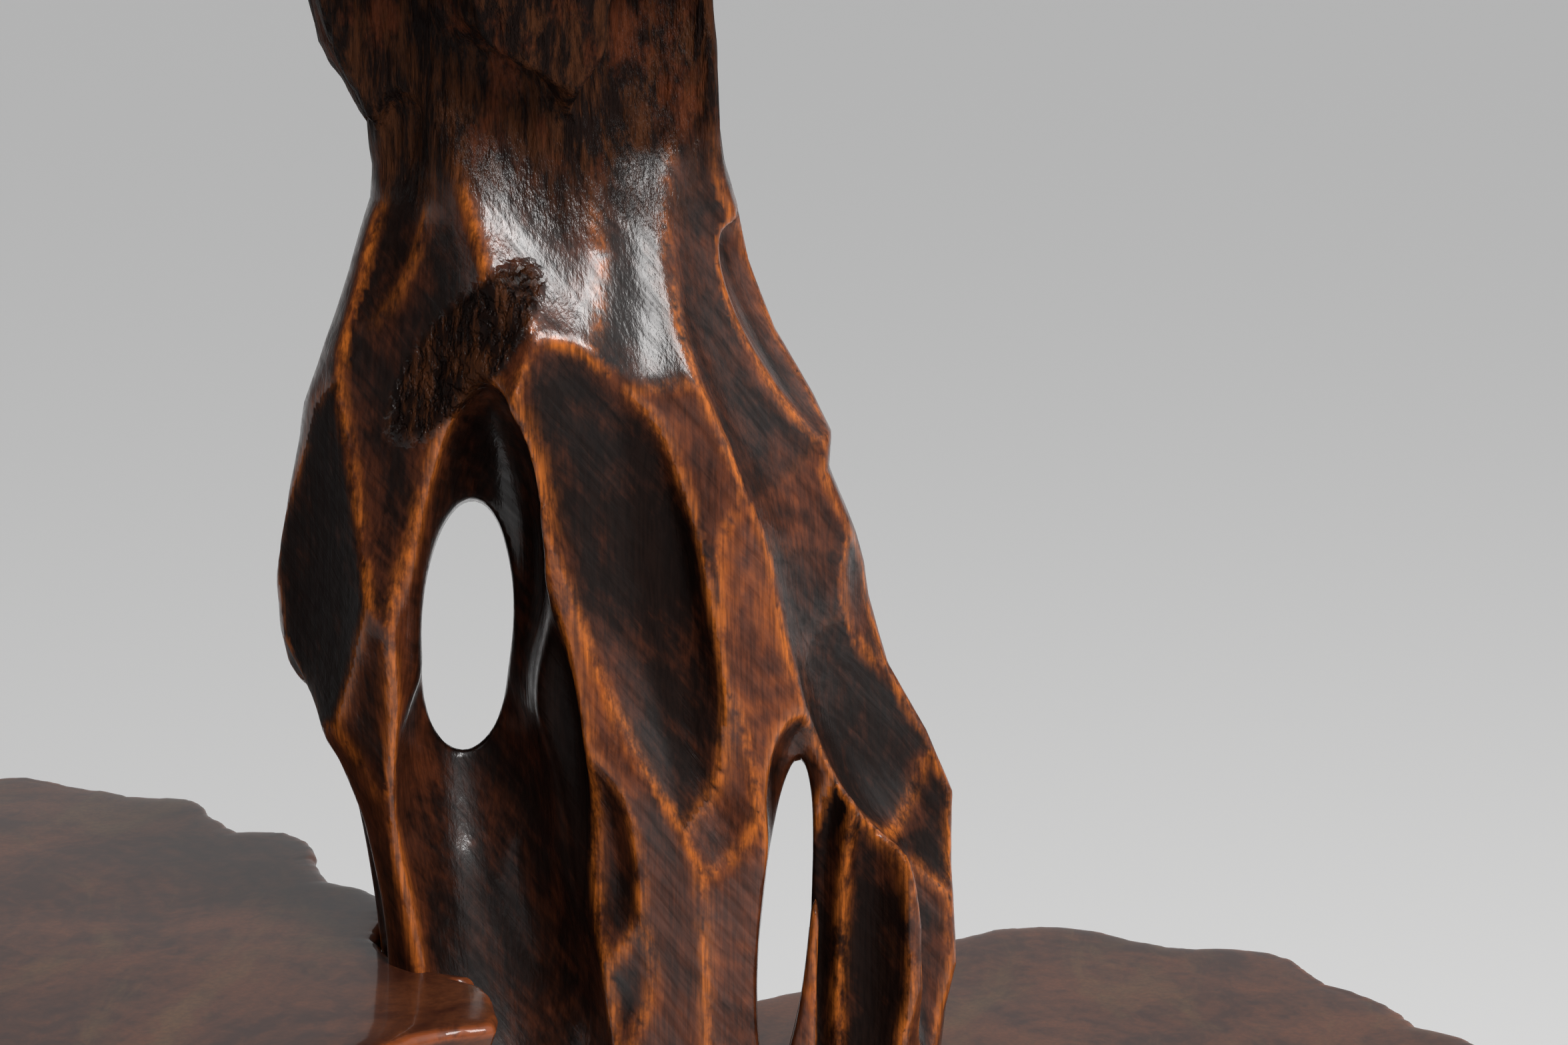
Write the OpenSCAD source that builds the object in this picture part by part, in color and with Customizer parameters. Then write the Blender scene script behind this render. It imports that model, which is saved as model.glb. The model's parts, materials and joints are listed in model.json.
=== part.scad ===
/* [Overall] */
// Thickness of the turning top slab
top_slab_thickness = 35; // [32:1:44]
// Mean radius of the turning top slab
top_slab_radius = 185; // [150:5:210]

/* [Trunk] */
// Height of the trunk's flat crown, where the bearing is screwed on
crown_height = 985; // [975:1:990]
// How deep the gouge hollows are cut, as a share of their full depth
gouge_share = 1.0; // [0.5:0.1:1.1]

/* [Trays] */
// Top face height of the left tray
left_tray_height = 540; // [536:1:546]
// Thickness of the left tray
left_tray_thickness = 32; // [26:1:34]
// Top face height of the right tray
right_tray_height = 447; // [440:1:452]
// Thickness of the right tray
right_tray_thickness = 32; // [26:1:34]
// Gap between each tray and the trunk it is notched around
tray_notch_gap = 2.5; // [1:0.5:5]

/* [Base] */
// Thickness of the base slab
base_slab_thickness = 50; // [44:1:54]
// Mean radius of the base slab
base_slab_radius = 240; // [220:5:250]
// Thickness of each foot pad
foot_pad_thickness = 12; // [8:1:14]
// Radius of each foot pad
foot_pad_radius = 24; // [18:1:28]

/* [Turning head] */
// Radius of the spindle
spindle_radius = 8; // [6:0.5:9]
// Running clearance between the spindle and the top plate's bore
spindle_clearance = 0.05; // [0.02:0.01:0.1]
// Radius of each bearing ball
ball_radius = 4; // [3.5:0.1:4.2]
// Number of bearing balls
ball_count = 20; // [12:1:24]
// Radius of the circle the ball centres run on
ball_circle_radius = 48; // [46:1:50]
// Clearance between a ball and each race
ball_clearance = 0.06; // [0.04:0.01:0.1]

/* [Hidden] */
$fn = 64;

// colours of the finished materials
root_colour = [0.30, 0.13, 0.06];
slab_colour = [0.34, 0.17, 0.10];
steel_colour = [0.66, 0.67, 0.69];
brass_colour = [0.76, 0.60, 0.30];
rubber_colour = [0.08, 0.08, 0.08];
dowel_colour = [0.72, 0.55, 0.36];

// turning axis, through the middle of the trunk's crown
axis_x = 32;
axis_y = -25;

// the trunk's flat foot stands on top of the base slab
base_bottom = foot_pad_thickness;
trunk_foot_height = base_bottom + base_slab_thickness;

// clearance of glued and screwed joints inside one body
seat_gap = 0.2;
// how far a cut runs past the face it opens
past = 2;

// ---------------------------------------------------------------- trunk
// one row per level: height, left side x, right side x, centre y, half depth
trunk_rows = [
  [  62, -100, 240,  -5, 150],
  [  78,  -92, 232,  -5, 142],
  [ 100,  -78, 217,  -6, 130],
  [ 130,  -62, 200,  -8, 116],
  [ 165,  -49, 186, -11, 104],
  [ 205,  -39, 176, -14,  95],
  [ 250,  -31, 170, -17,  88],
  [ 300,  -26, 168, -20,  83],
  [ 400,  -19, 176, -23,  76],
  [ 465,  -18, 184, -25,  74],
  [ 510,  -20, 190, -25,  74],
  [ 528,  -22, 195, -25,  75],
  [ 565,  -25, 195, -25,  76],
  [ 592,  -32, 195, -25,  77],
  [ 618,  -43, 186, -25,  78],
  [ 644,  -57, 171, -25,  80],
  [ 670,  -61, 162, -25,  80],
  [ 683,  -61, 159, -25,  80],
  [ 696,  -60, 155, -25,  80],
  [ 722,  -53, 147, -25,  78],
  [ 735,  -50, 145, -25,  77],
  [ 748,  -47, 139, -25,  75],
  [ 772,  -39, 127, -25,  70],
  [ 798,  -30, 117, -25,  62],
  [ 823,  -22, 110, -25,  56],
  [ 836,  -21, 108, -25,  55],
  [ 850,  -24, 107, -25,  56],
  [ 880,  -40, 105, -25,  63],
  [ 895,  -43, 103, -25,  67],
  [ 940,  -49, 111, -25,  76],
  [ 985,  -51, 115, -25,  81]
];
trunk_sides = 48;

// one row per gouge hollow: bearing in degrees (-90 faces the front),
// height, half angle, half height, depth
gouges = [
  [-104, 676, 15, 88, 20],
  [-123, 655, 14, 118, 25],
  [-125, 540, 13, 60, 20],
  [-100, 590, 11, 50, 13],
  [ -79, 715, 13, 26, 7],
  [ -66, 658, 13, 38, 8],
  [ -83, 655, 9, 30, 7],
  [ -74, 598, 9, 26, 7],
  [ -62, 585, 12, 40, 16],
  [ -42, 630, 18, 34, 9],
  [ -20, 600, 18, 30, 9],
  [ -45, 540, 12, 60, 14],
  [ -25, 545, 12, 52, 9],
  [-165, 715, 24, 48, 11],
  [-150, 620, 17, 74, 11],
  [-170, 825, 28, 62, 9],
  [-130, 800, 16, 50, 7],
  [-100, 795, 16, 44, 8],
  [ -75, 790, 15, 52, 7],
  [ -45, 800, 20, 58, 7],
  [ -30, 720, 20, 34, 7],
  [ -92, 520, 12, 52, 9],
  [ -75, 500, 12, 70, 9],
  [-118, 420, 20, 60, 13],
  [ -70, 400, 22, 64, 13],
  [ -25, 420, 22, 66, 12],
  [ -95, 300, 22, 64, 14],
  [ -50, 280, 24, 66, 14],
  [-145, 300, 22, 70, 14],
  [  10, 320, 22, 70, 14],
  [  20, 460, 22, 66, 12],
  [  10, 560, 20, 52, 12],
  [  25, 660, 22, 56, 11],
  [   5, 740, 20, 44, 9],
  [  45, 780, 24, 56, 9],
  [  60, 600, 22, 66, 13],
  [  70, 700, 20, 48, 10],
  [  75, 480, 22, 60, 13],
  [  95, 560, 18, 60, 12],
  [ 100, 640, 18, 52, 11],
  [ 110, 750, 24, 60, 10],
  [ 130, 660, 22, 56, 12],
  [ 140, 560, 20, 60, 12],
  [ 120, 440, 24, 66, 13],
  [ 160, 460, 22, 64, 12],
  [ 165, 620, 20, 58, 11],
  [ 150, 760, 22, 56, 9],
  [  60, 340, 24, 70, 14],
  [ 110, 310, 22, 66, 14],
  [ 155, 330, 22, 66, 14]
];

// five roots spread where the trunk meets the base slab
root_count = 5;
root_spread_top = 330;
root_swell = 0.15;
// bearing of the swelling's crests from the x axis
swell_turn = 20;

// distance round a circle between two bearings
function turn(a, b) = abs((((a - b + 180) % 360) + 360) % 360 - 180);

// depth of one gouge hollow at a bearing and a height
function hollow(g, a, z) =
  g[4] * max(0, 1 - pow(turn(a, g[0]) / g[2], 2) - pow((z - g[1]) / g[3], 2));

// deepest gouge hollow at a bearing and a height
function carved(a, z) = gouge_share * max([for (g = gouges) hollow(g, a, z)]);

// swelling of the roots towards the foot
function swell(a, z) =
  1 + root_swell * cos(root_count * (a + swell_turn)) * pow(max(0, (root_spread_top - z) / root_spread_top), 2);

function column(i) = [for (r = trunk_rows) [r[0], r[i]]];
left_side = column(1);
right_side = column(2);
centre_line = column(3);
half_depth = column(4);

// one point of the trunk's surface, grown outward by a clearance
function skin(a, z, grow) =
  let (xl = lookup(z, left_side), xr = lookup(z, right_side),
       hx = (xr - xl) / 2, hy = lookup(z, half_depth),
       k = swell(a, z), d = carved(a, z) - grow)
  [(xl + xr) / 2 + cos(a) * (hx * k - d), lookup(z, centre_line) + sin(a) * (hy * k - d)];

// levels of the loft, closer together where the carving is finest
level_step_low = 22;
level_step_fine = 10;
fine_from = 480;
// least distance from the last level to the crown
crown_margin = 3;
low_levels = [for (z = [trunk_foot_height : level_step_low : fine_from - 1]) z];
fine_levels = [for (z = [fine_from : level_step_fine : crown_height - crown_margin]) z];
levels = concat(low_levels, fine_levels, [crown_height]);

module trunk_loft() {
  n = trunk_sides;
  m = len(levels);
  points = [for (z = levels) for (i = [0 : n - 1])
    let (p = skin(i * 360 / n, z, 0)) [p[0], p[1], z]];
  sides = [for (j = [0 : m - 2]) for (i = [0 : n - 1]) for (h = [0, 1])
    let (a = j * n + i, b = j * n + (i + 1) % n, c = (j + 1) * n + (i + 1) % n, d = (j + 1) * n + i)
    h == 0 ? [a, c, b] : [a, d, c]];
  foot = [[for (i = [0 : n - 1]) i]];
  crown = [[for (i = [n - 1 : -1 : 0]) (m - 1) * n + i]];
  polyhedron(points = points, faces = concat(sides, foot, crown), convexity = 10);
}

// an upright oval prism that pierces the trunk from front to back
// eye: x, z, half width, half height, lean, slope, swing
piercing_reach = 160;
piercing_corners = 28;
module piercing(eye) {
  translate([eye[0], axis_y, eye[1]])
    rotate([0, 0, eye[6]])
    rotate([90 - eye[5], 0, 0])
    rotate([0, 0, eye[4]])
    translate([0, 0, -piercing_reach])
    linear_extrude(height = 2 * piercing_reach)
    polygon([for (i = [0 : piercing_corners - 1]) let (a = i * 360 / piercing_corners)
      [eye[2] * cos(a), eye[3] * sin(a)]]);
}

left_eye = [10, 659, 18, 46, 4, 14, 6];
right_eye = [131, 541, 9.5, 59, -3, 19, 0];

// ---------------------------------------------------------------- joints of the two limbs
// left limb: it seats against a flat cut on the trunk that faces left
left_seat_x = -4;
left_seat_z = 400;
left_limb_y = -25;
left_pad_x = -150;
// right limb: it seats against a flat cut on the trunk that faces right
right_seat_x = 160;
right_seat_z = 318;
right_limb_y = -10;
right_pad_x = 262;
right_pad_y = 45;
limb_pad_radius = 58;
pad_thickness = 16;
seat_half_height = 46;
seat_half_width = 40;
seat_cut_depth = 80;

dowel_radius = 7;
dowel_length = 64;
dowel_spacing = 30;
dowel_clearance = 0.1;

module dowel_pair(x, y, z, radius, length) {
  for (s = [-1, 1])
    translate([x, y, z + s * dowel_spacing / 2])
      rotate([0, 90, 0])
      cylinder(r = radius, h = length, center = true);
}

// ---------------------------------------------------------------- fasteners into the trunk
coach_circle_radius = 78;
coach_count = 4;
coach_radius = 5;
coach_length = 110;
coach_head_radius = 9.8;
coach_head_height = 7;
coach_washer_radius = 14;
coach_washer_thickness = 2;
coach_pocket_radius = 16;
coach_pocket_depth = 14;
coach_centre_x = 70;
coach_centre_y = -5;
hex_sides = 6;
// first coach screw and first foot, from the x axis
first_bearing = 45;

coach_seat_z = base_bottom + coach_pocket_depth;

module coach_places() {
  for (i = [0 : coach_count - 1])
    translate([coach_centre_x, coach_centre_y, 0])
      rotate([0, 0, first_bearing + i * 360 / coach_count])
      translate([coach_circle_radius, 0, 0])
      children();
}

// turning head, stacked up from the crown
plate_radius = 74;
plate_thickness = 5;
race_height = 8;
race_half_width = 7.5;
race_gap = 4;
base_plate_top = crown_height + plate_thickness;
lower_race_top = base_plate_top + race_height;
ball_centre_z = lower_race_top + race_gap / 2;
upper_race_bottom = lower_race_top + race_gap;
upper_race_top = upper_race_bottom + race_height;
top_plate_top = upper_race_top + plate_thickness;
spindle_depth = 60;
plate_screw_circle = 65;
plate_screw_count = 6;
// the top plate's screws stand half a step round from the base plate's
top_screw_start = 180 / plate_screw_count;
plate_screw_radius = 2.2;
plate_screw_head_radius = 4.2;
plate_screw_head_height = 2.6;
plate_screw_length = 24;
screw_clearance = 0.15;

module round_the_axis(count, radius, start) {
  for (i = [0 : count - 1])
    translate([axis_x, axis_y, 0])
      rotate([0, 0, start + i * 360 / count])
      translate([radius, 0, 0])
      children();
}

// countersunk wood screw, head face at z = 0, pointing down
module sunk_screw(radius, head_radius, head_height, length) {
  translate([0, 0, -head_height])
    cylinder(r1 = radius, r2 = head_radius, h = head_height);
  translate([0, 0, -length])
    cylinder(r = radius, h = length - head_height);
}

// hole that a countersunk screw sits in, open past its face
module sunk_hole(radius, head_radius, head_height, length) {
  translate([0, 0, -head_height])
    cylinder(r1 = radius, r2 = head_radius, h = head_height);
  translate([0, 0, -length - past / 2])
    cylinder(r = radius, h = length + past / 2);
  cylinder(r = head_radius, h = past);
}

module clear_hole(radius, head_radius, head_height, length) {
  sunk_hole(radius + screw_clearance, head_radius + screw_clearance, head_height, length);
}

module plate_screw_hole() {
  clear_hole(plate_screw_radius, plate_screw_head_radius, plate_screw_head_height, plate_screw_length);
}

module trunk() {
  color(root_colour)
  difference() {
    trunk_loft();
    piercing(left_eye);
    piercing(right_eye);
    // flat seats for the two limbs
    translate([left_seat_x - seat_cut_depth, left_limb_y - seat_half_width, left_seat_z - seat_half_height])
      cube([seat_cut_depth, 2 * seat_half_width, 2 * seat_half_height]);
    translate([right_seat_x, right_limb_y - seat_half_width, right_seat_z - seat_half_height])
      cube([seat_cut_depth, 2 * seat_half_width, 2 * seat_half_height]);
    dowel_pair(left_seat_x, left_limb_y, left_seat_z, dowel_radius + dowel_clearance, dowel_length + past);
    dowel_pair(right_seat_x, right_limb_y, right_seat_z, dowel_radius + dowel_clearance, dowel_length + past);
    // coach screws from below
    coach_places()
      translate([0, 0, trunk_foot_height - past])
      cylinder(r = coach_radius + screw_clearance,
               h = coach_seat_z + coach_length - trunk_foot_height + 2 * past);
    // spindle and plate screws from above
    translate([axis_x, axis_y, crown_height - spindle_depth - past])
      cylinder(r = spindle_radius + screw_clearance, h = spindle_depth + 2 * past);
    round_the_axis(plate_screw_count, plate_screw_circle, 0)
      translate([0, 0, crown_height - plate_screw_length])
      cylinder(r = plate_screw_radius + screw_clearance, h = plate_screw_length + past);
  }
}

// ---------------------------------------------------------------- live-edge slabs
// radius of a live edge round a slab: a mean and a few waves
function wavy(a, mean, seed) =
  mean * (1 + 0.030 * sin(2 * a + 40 * seed) + 0.022 * sin(3 * a + 75 * seed)
            + 0.014 * sin(7 * a + 31 * seed) + 0.010 * sin(12 * a + 57 * seed));
edge_points = 96;

module live_slab(x, y, mean, seed, bottom, thickness) {
  translate([x, y, bottom])
    linear_extrude(height = thickness)
    polygon([for (i = [0 : edge_points - 1]) let (a = i * 360 / edge_points)
      [wavy(a, mean, seed) * cos(a), wavy(a, mean, seed) * sin(a)]]);
}

// outline radius by bearing for the two trays, as seen from above
left_tray_x = -190;
left_tray_y = -20;
left_edge = [
  [-180, 245], [-165, 238], [-150, 226], [-135, 220], [-120, 222], [-105, 216],
  [-90, 212], [-75, 216], [-60, 222], [-45, 222], [-37, 221], [-31, 225],
  [-26, 242], [-22, 234], [-18, 223], [-14, 208], [-10, 190], [-6, 180],
  [-2, 174], [4, 170], [10, 168], [16, 161], [22, 147], [28, 148],
  [34, 153], [42, 162], [48, 164], [54, 151], [58, 155], [64, 164],
  [70, 180], [80, 178], [90, 191],
  [96, 205], [105, 206], [115, 212], [125, 220], [140, 226], [155, 236],
  [168, 244], [180, 245]
];
right_tray_x = 250;
right_tray_y = 70;
right_edge = [
  [-180, 168], [-165, 176], [-150, 172], [-135, 165], [-120, 160], [-105, 168],
  [-90, 176], [-75, 172], [-60, 168], [-45, 174], [-30, 182], [-15, 178],
  [-5, 184], [3, 185], [10, 178], [16, 163], [23, 166], [30, 166],
  [38, 160], [45, 170], [51, 178], [58, 172], [67, 160], [74, 164],
  [81, 174], [89, 179], [96, 176], [103, 166], [115, 158], [128, 146],
  [139, 141], [146, 151], [156, 160], [168, 164], [180, 168]
];
tray_edge_points = 180;

// the tray's outline from its table, then the trunk's outline is taken out of it
module tray(x, y, edge, bottom, thickness) {
  difference() {
    translate([x, y, bottom])
      linear_extrude(height = thickness)
      polygon([for (i = [0 : tray_edge_points - 1])
        let (a = -180 + i * 360 / tray_edge_points, r = lookup(a, edge)) [r * cos(a), r * sin(a)]]);
    translate([0, 0, bottom - past])
      linear_extrude(height = thickness + 2 * past)
      polygon([for (i = [0 : trunk_sides - 1])
        let (a = i * 360 / trunk_sides,
             low = skin(a, bottom - level_step_fine, tray_notch_gap),
             mid = skin(a, bottom + thickness / 2, tray_notch_gap),
             high = skin(a, bottom + thickness + level_step_fine, tray_notch_gap),
             rl = norm(low - notch_middle), rm = norm(mid - notch_middle), rh = norm(high - notch_middle))
        rm >= rl && rm >= rh ? mid : (rl >= rh ? low : high)]);
  }
}
// middle of the trunk at the height of the trays
notch_middle = [85, -25];

// screws up through a limb's pad into its tray
tray_screw_circle = 46;
tray_screw_count = 3;
tray_screw_radius = 2.5;
tray_screw_head_radius = 5;
tray_screw_head_height = 3;
tray_screw_length = 40;

module tray_screw_hole() {
  clear_hole(tray_screw_radius, tray_screw_head_radius, tray_screw_head_height, tray_screw_length);
}

module pad_screw_places(x, y, z, start) {
  for (i = [0 : tray_screw_count - 1])
    translate([x, y, z])
      rotate([0, 0, start + i * 360 / tray_screw_count])
      translate([tray_screw_circle, 0, 0])
      rotate([180, 0, 0])
      children();
}

// sweep of ovals from a seat on the trunk, out and up to the underside of a pad
// each station: x, y, z, lean of the section from upright, half width, half height
limb_sides = 24;
module limb_sweep(stations, side) {
  n = limb_sides;
  m = len(stations);
  points = [for (s = stations) for (i = [0 : n - 1])
    let (a = i * 360 / n, u = s[5] * sin(a), v = s[4] * cos(a))
    [s[0] + side * u * sin(s[3]), s[1] + v, s[2] + u * cos(s[3])]];
  sides = [for (j = [0 : m - 2]) for (i = [0 : n - 1]) for (h = [0, 1])
    let (a = j * n + i, b = j * n + (i + 1) % n, c = (j + 1) * n + (i + 1) % n, d = (j + 1) * n + i,
         face = h == 0 ? [a, b, c] : [a, c, d])
    side > 0 ? face : [face[0], face[2], face[1]]];
  around = [for (i = [0 : n - 1]) i];
  back = [for (i = [n - 1 : -1 : 0]) i];
  first = side > 0 ? back : around;
  last = [for (i = (side > 0 ? around : back)) (m - 1) * n + i];
  polyhedron(points = points, faces = concat(sides, [first], [last]), convexity = 4);
}

left_pad_top = left_tray_height - left_tray_thickness;
left_pad_bottom = left_pad_top - pad_thickness;
right_pad_top = right_tray_height - right_tray_thickness;
right_pad_bottom = right_pad_top - pad_thickness;

// stations of the two limbs, from the seat on the trunk to the pad
left_stations = [
  [left_seat_x - seat_gap, -25, left_seat_z, 0, 30, 36],
  [-30, -25, 402, 6, 28, 33],
  [-62, -24, 410, 20, 26, 29],
  [-95, -23, 424, 38, 26, 27],
  [-122, -22, 444, 58, 27, 27],
  [-140, -21, 468, 76, 30, 30],
  [left_pad_x, left_tray_y, left_pad_bottom, 90, 35, 35]
];
right_stations = [
  [right_seat_x + seat_gap, right_limb_y, right_seat_z, 0, 30, 36],
  [182, -6, 320, 8, 28, 33],
  [206, 5, 328, 24, 27, 29],
  [230, 20, 342, 42, 26, 27],
  [250, 34, 360, 62, 27, 27],
  [260, 42, 380, 80, 30, 30],
  [right_pad_x, right_pad_y, right_pad_bottom, 90, 35, 35]
];
left_screw_start = 60;
right_screw_start = 0;

module left_limb() {
  color(root_colour)
  difference() {
    union() {
      limb_sweep(left_stations, 1);
      translate([left_pad_x, left_tray_y, left_pad_bottom])
        cylinder(r = limb_pad_radius, h = pad_thickness);
    }
    dowel_pair(left_seat_x, left_limb_y, left_seat_z, dowel_radius + dowel_clearance, dowel_length + past);
    pad_screw_places(left_pad_x, left_tray_y, left_pad_bottom, left_screw_start)
      tray_screw_hole();
  }
}

module right_limb() {
  color(root_colour)
  difference() {
    union() {
      limb_sweep(right_stations, -1);
      translate([right_pad_x, right_pad_y, right_pad_bottom])
        cylinder(r = limb_pad_radius, h = pad_thickness);
    }
    dowel_pair(right_seat_x, right_limb_y, right_seat_z, dowel_radius + dowel_clearance, dowel_length + past);
    pad_screw_places(right_pad_x, right_pad_y, right_pad_bottom, right_screw_start)
      tray_screw_hole();
  }
}

module left_limb_dowels() {
  color(dowel_colour)
  dowel_pair(left_seat_x, left_limb_y, left_seat_z, dowel_radius, dowel_length);
}

module right_limb_dowels() {
  color(dowel_colour)
  dowel_pair(right_seat_x, right_limb_y, right_seat_z, dowel_radius, dowel_length);
}

module left_tray() {
  color(slab_colour)
  difference() {
    tray(left_tray_x, left_tray_y, left_edge, left_pad_top, left_tray_thickness);
    pad_screw_places(left_pad_x, left_tray_y, left_pad_bottom, left_screw_start)
      translate([0, 0, -tray_screw_length - past])
      cylinder(r = tray_screw_radius + screw_clearance, h = tray_screw_length);
  }
}

module right_tray() {
  color(slab_colour)
  difference() {
    tray(right_tray_x, right_tray_y, right_edge, right_pad_top, right_tray_thickness);
    pad_screw_places(right_pad_x, right_pad_y, right_pad_bottom, right_screw_start)
      translate([0, 0, -tray_screw_length - past])
      cylinder(r = tray_screw_radius + screw_clearance, h = tray_screw_length);
  }
}

module left_tray_screws() {
  color(steel_colour)
  pad_screw_places(left_pad_x, left_tray_y, left_pad_bottom, left_screw_start)
    sunk_screw(tray_screw_radius, tray_screw_head_radius, tray_screw_head_height, tray_screw_length);
}

module right_tray_screws() {
  color(steel_colour)
  pad_screw_places(right_pad_x, right_pad_y, right_pad_bottom, right_screw_start)
    sunk_screw(tray_screw_radius, tray_screw_head_radius, tray_screw_head_height, tray_screw_length);
}

// ---------------------------------------------------------------- base
base_x = 70;
base_y = -5;
base_seed = 1;
pad_circle_radius = 186;
pad_count = 4;
pad_screw_radius = 2.5;
pad_screw_head_radius = 5;
pad_screw_head_height = 3;
pad_screw_sunk = 3;
pad_screw_length = 30;

module foot_places() {
  for (i = [0 : pad_count - 1])
    translate([base_x, base_y, 0])
      rotate([0, 0, first_bearing + i * 360 / pad_count])
      translate([pad_circle_radius, 0, 0])
      children();
}

module base_slab() {
  color(slab_colour)
  difference() {
    live_slab(base_x, base_y, base_slab_radius, base_seed, base_bottom, base_slab_thickness);
    coach_places() {
      translate([0, 0, base_bottom - past])
        cylinder(r = coach_pocket_radius, h = coach_pocket_depth + past);
      translate([0, 0, base_bottom])
        cylinder(r = coach_radius + screw_clearance, h = base_slab_thickness + past);
    }
    foot_places()
      translate([0, 0, base_bottom - past])
      cylinder(r = pad_screw_radius + screw_clearance,
               h = pad_screw_sunk + pad_screw_length - base_bottom + 2 * past);
  }
}

module foot_pads() {
  color(rubber_colour)
  foot_places()
    difference() {
      cylinder(r = foot_pad_radius, h = foot_pad_thickness);
      translate([0, 0, pad_screw_sunk])
        rotate([180, 0, 0])
        clear_hole(pad_screw_radius, pad_screw_head_radius, pad_screw_head_height, pad_screw_length);
      translate([0, 0, -past])
        cylinder(r = pad_screw_head_radius + screw_clearance, h = pad_screw_sunk + past);
    }
}

module foot_pad_screws() {
  color(steel_colour)
  foot_places()
    translate([0, 0, pad_screw_sunk])
    rotate([180, 0, 0])
    sunk_screw(pad_screw_radius, pad_screw_head_radius, pad_screw_head_height, pad_screw_length);
}

module trunk_coach_screws() {
  color(steel_colour)
  coach_places() {
    translate([0, 0, coach_seat_z - coach_washer_thickness - coach_head_height])
      cylinder(r = coach_head_radius, h = coach_head_height, $fn = hex_sides);
    translate([0, 0, coach_seat_z - coach_washer_thickness])
      cylinder(r = coach_radius, h = coach_length);
  }
}

module trunk_washers() {
  color(steel_colour)
  coach_places()
    translate([0, 0, coach_seat_z - coach_washer_thickness])
    difference() {
      cylinder(r = coach_washer_radius, h = coach_washer_thickness);
      translate([0, 0, -past])
        cylinder(r = coach_radius + screw_clearance, h = coach_washer_thickness + 2 * past);
    }
}

// ---------------------------------------------------------------- turning head
module bearing_plate(bottom, bore) {
  translate([axis_x, axis_y, bottom])
    difference() {
      cylinder(r = plate_radius, h = plate_thickness);
      translate([0, 0, -past])
        cylinder(r = bore, h = plate_thickness + 2 * past);
    }
}

// groove the balls run in, a ring of round section about the turning axis
module ball_groove() {
  translate([axis_x, axis_y, ball_centre_z])
    rotate_extrude()
    translate([ball_circle_radius, 0])
    circle(r = ball_radius + ball_clearance);
}

module race(bottom) {
  difference() {
    translate([axis_x, axis_y, bottom])
      difference() {
        cylinder(r = ball_circle_radius + race_half_width, h = race_height);
        translate([0, 0, -past])
          cylinder(r = ball_circle_radius - race_half_width, h = race_height + 2 * past);
      }
    ball_groove();
  }
}

module bearing_base_plate() {
  color(steel_colour)
  difference() {
    bearing_plate(crown_height, spindle_radius + screw_clearance);
    round_the_axis(plate_screw_count, plate_screw_circle, 0)
      translate([0, 0, base_plate_top])
      plate_screw_hole();
  }
}

module base_plate_screws() {
  color(steel_colour)
  round_the_axis(plate_screw_count, plate_screw_circle, 0)
    translate([0, 0, base_plate_top])
    sunk_screw(plate_screw_radius, plate_screw_head_radius, plate_screw_head_height, plate_screw_length);
}

module lower_race() {
  color(steel_colour) race(base_plate_top);
}

module upper_race() {
  color(steel_colour) race(upper_race_bottom);
}

module bearing_balls() {
  color(steel_colour)
  round_the_axis(ball_count, ball_circle_radius, 0)
    translate([0, 0, ball_centre_z])
    sphere(r = ball_radius);
}

cage_half_width = 6;
cage_thickness = 1.6;
cage_hole_gap = 0.3;

module ball_cage() {
  color(brass_colour)
  difference() {
    translate([axis_x, axis_y, ball_centre_z - cage_thickness / 2])
      difference() {
        cylinder(r = ball_circle_radius + cage_half_width, h = cage_thickness);
        translate([0, 0, -past])
          cylinder(r = ball_circle_radius - cage_half_width, h = cage_thickness + 2 * past);
      }
    round_the_axis(ball_count, ball_circle_radius, 0)
      translate([0, 0, ball_centre_z - cage_thickness])
      cylinder(r = ball_radius + cage_hole_gap, h = 2 * cage_thickness);
  }
}

module bearing_top_plate() {
  color(steel_colour)
  difference() {
    bearing_plate(upper_race_top, spindle_radius + spindle_clearance);
    round_the_axis(plate_screw_count, plate_screw_circle, top_screw_start)
      translate([0, 0, upper_race_top])
      rotate([180, 0, 0])
      plate_screw_hole();
  }
}

module top_plate_screws() {
  color(steel_colour)
  round_the_axis(plate_screw_count, plate_screw_circle, top_screw_start)
    translate([0, 0, upper_race_top])
    rotate([180, 0, 0])
    sunk_screw(plate_screw_radius, plate_screw_head_radius, plate_screw_head_height, plate_screw_length);
}

// spindle, washer and nut keep the head from lifting off
washer_gap = 0.3;
spindle_washer_radius = 15;
spindle_washer_thickness = 2;
spindle_nut_radius = 13.5;
spindle_nut_height = 8;
spindle_rise = 19;
washer_bottom = top_plate_top + washer_gap;
nut_bottom = washer_bottom + spindle_washer_thickness;

module spindle() {
  color(steel_colour)
  translate([axis_x, axis_y, crown_height - spindle_depth])
    cylinder(r = spindle_radius, h = top_plate_top + spindle_rise - crown_height + spindle_depth);
}

module spindle_washer() {
  color(steel_colour)
  translate([axis_x, axis_y, washer_bottom])
    difference() {
      cylinder(r = spindle_washer_radius, h = spindle_washer_thickness);
      translate([0, 0, -past])
        cylinder(r = spindle_radius + screw_clearance, h = spindle_washer_thickness + 2 * past);
    }
}

module spindle_nut() {
  color(steel_colour)
  translate([axis_x, axis_y, nut_bottom])
    difference() {
      cylinder(r = spindle_nut_radius, h = spindle_nut_height, $fn = hex_sides);
      translate([0, 0, -past])
        cylinder(r = spindle_radius + screw_clearance, h = spindle_nut_height + 2 * past);
    }
}

// top slab with a stepped hole for the nut, closed by a plug
top_seed = 3;
slab_bottom = top_plate_top;
nut_pocket_radius = 20;
plug_radius = 24;
plug_thickness = 12;
plug_bottom = slab_bottom + top_slab_thickness - plug_thickness;

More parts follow.
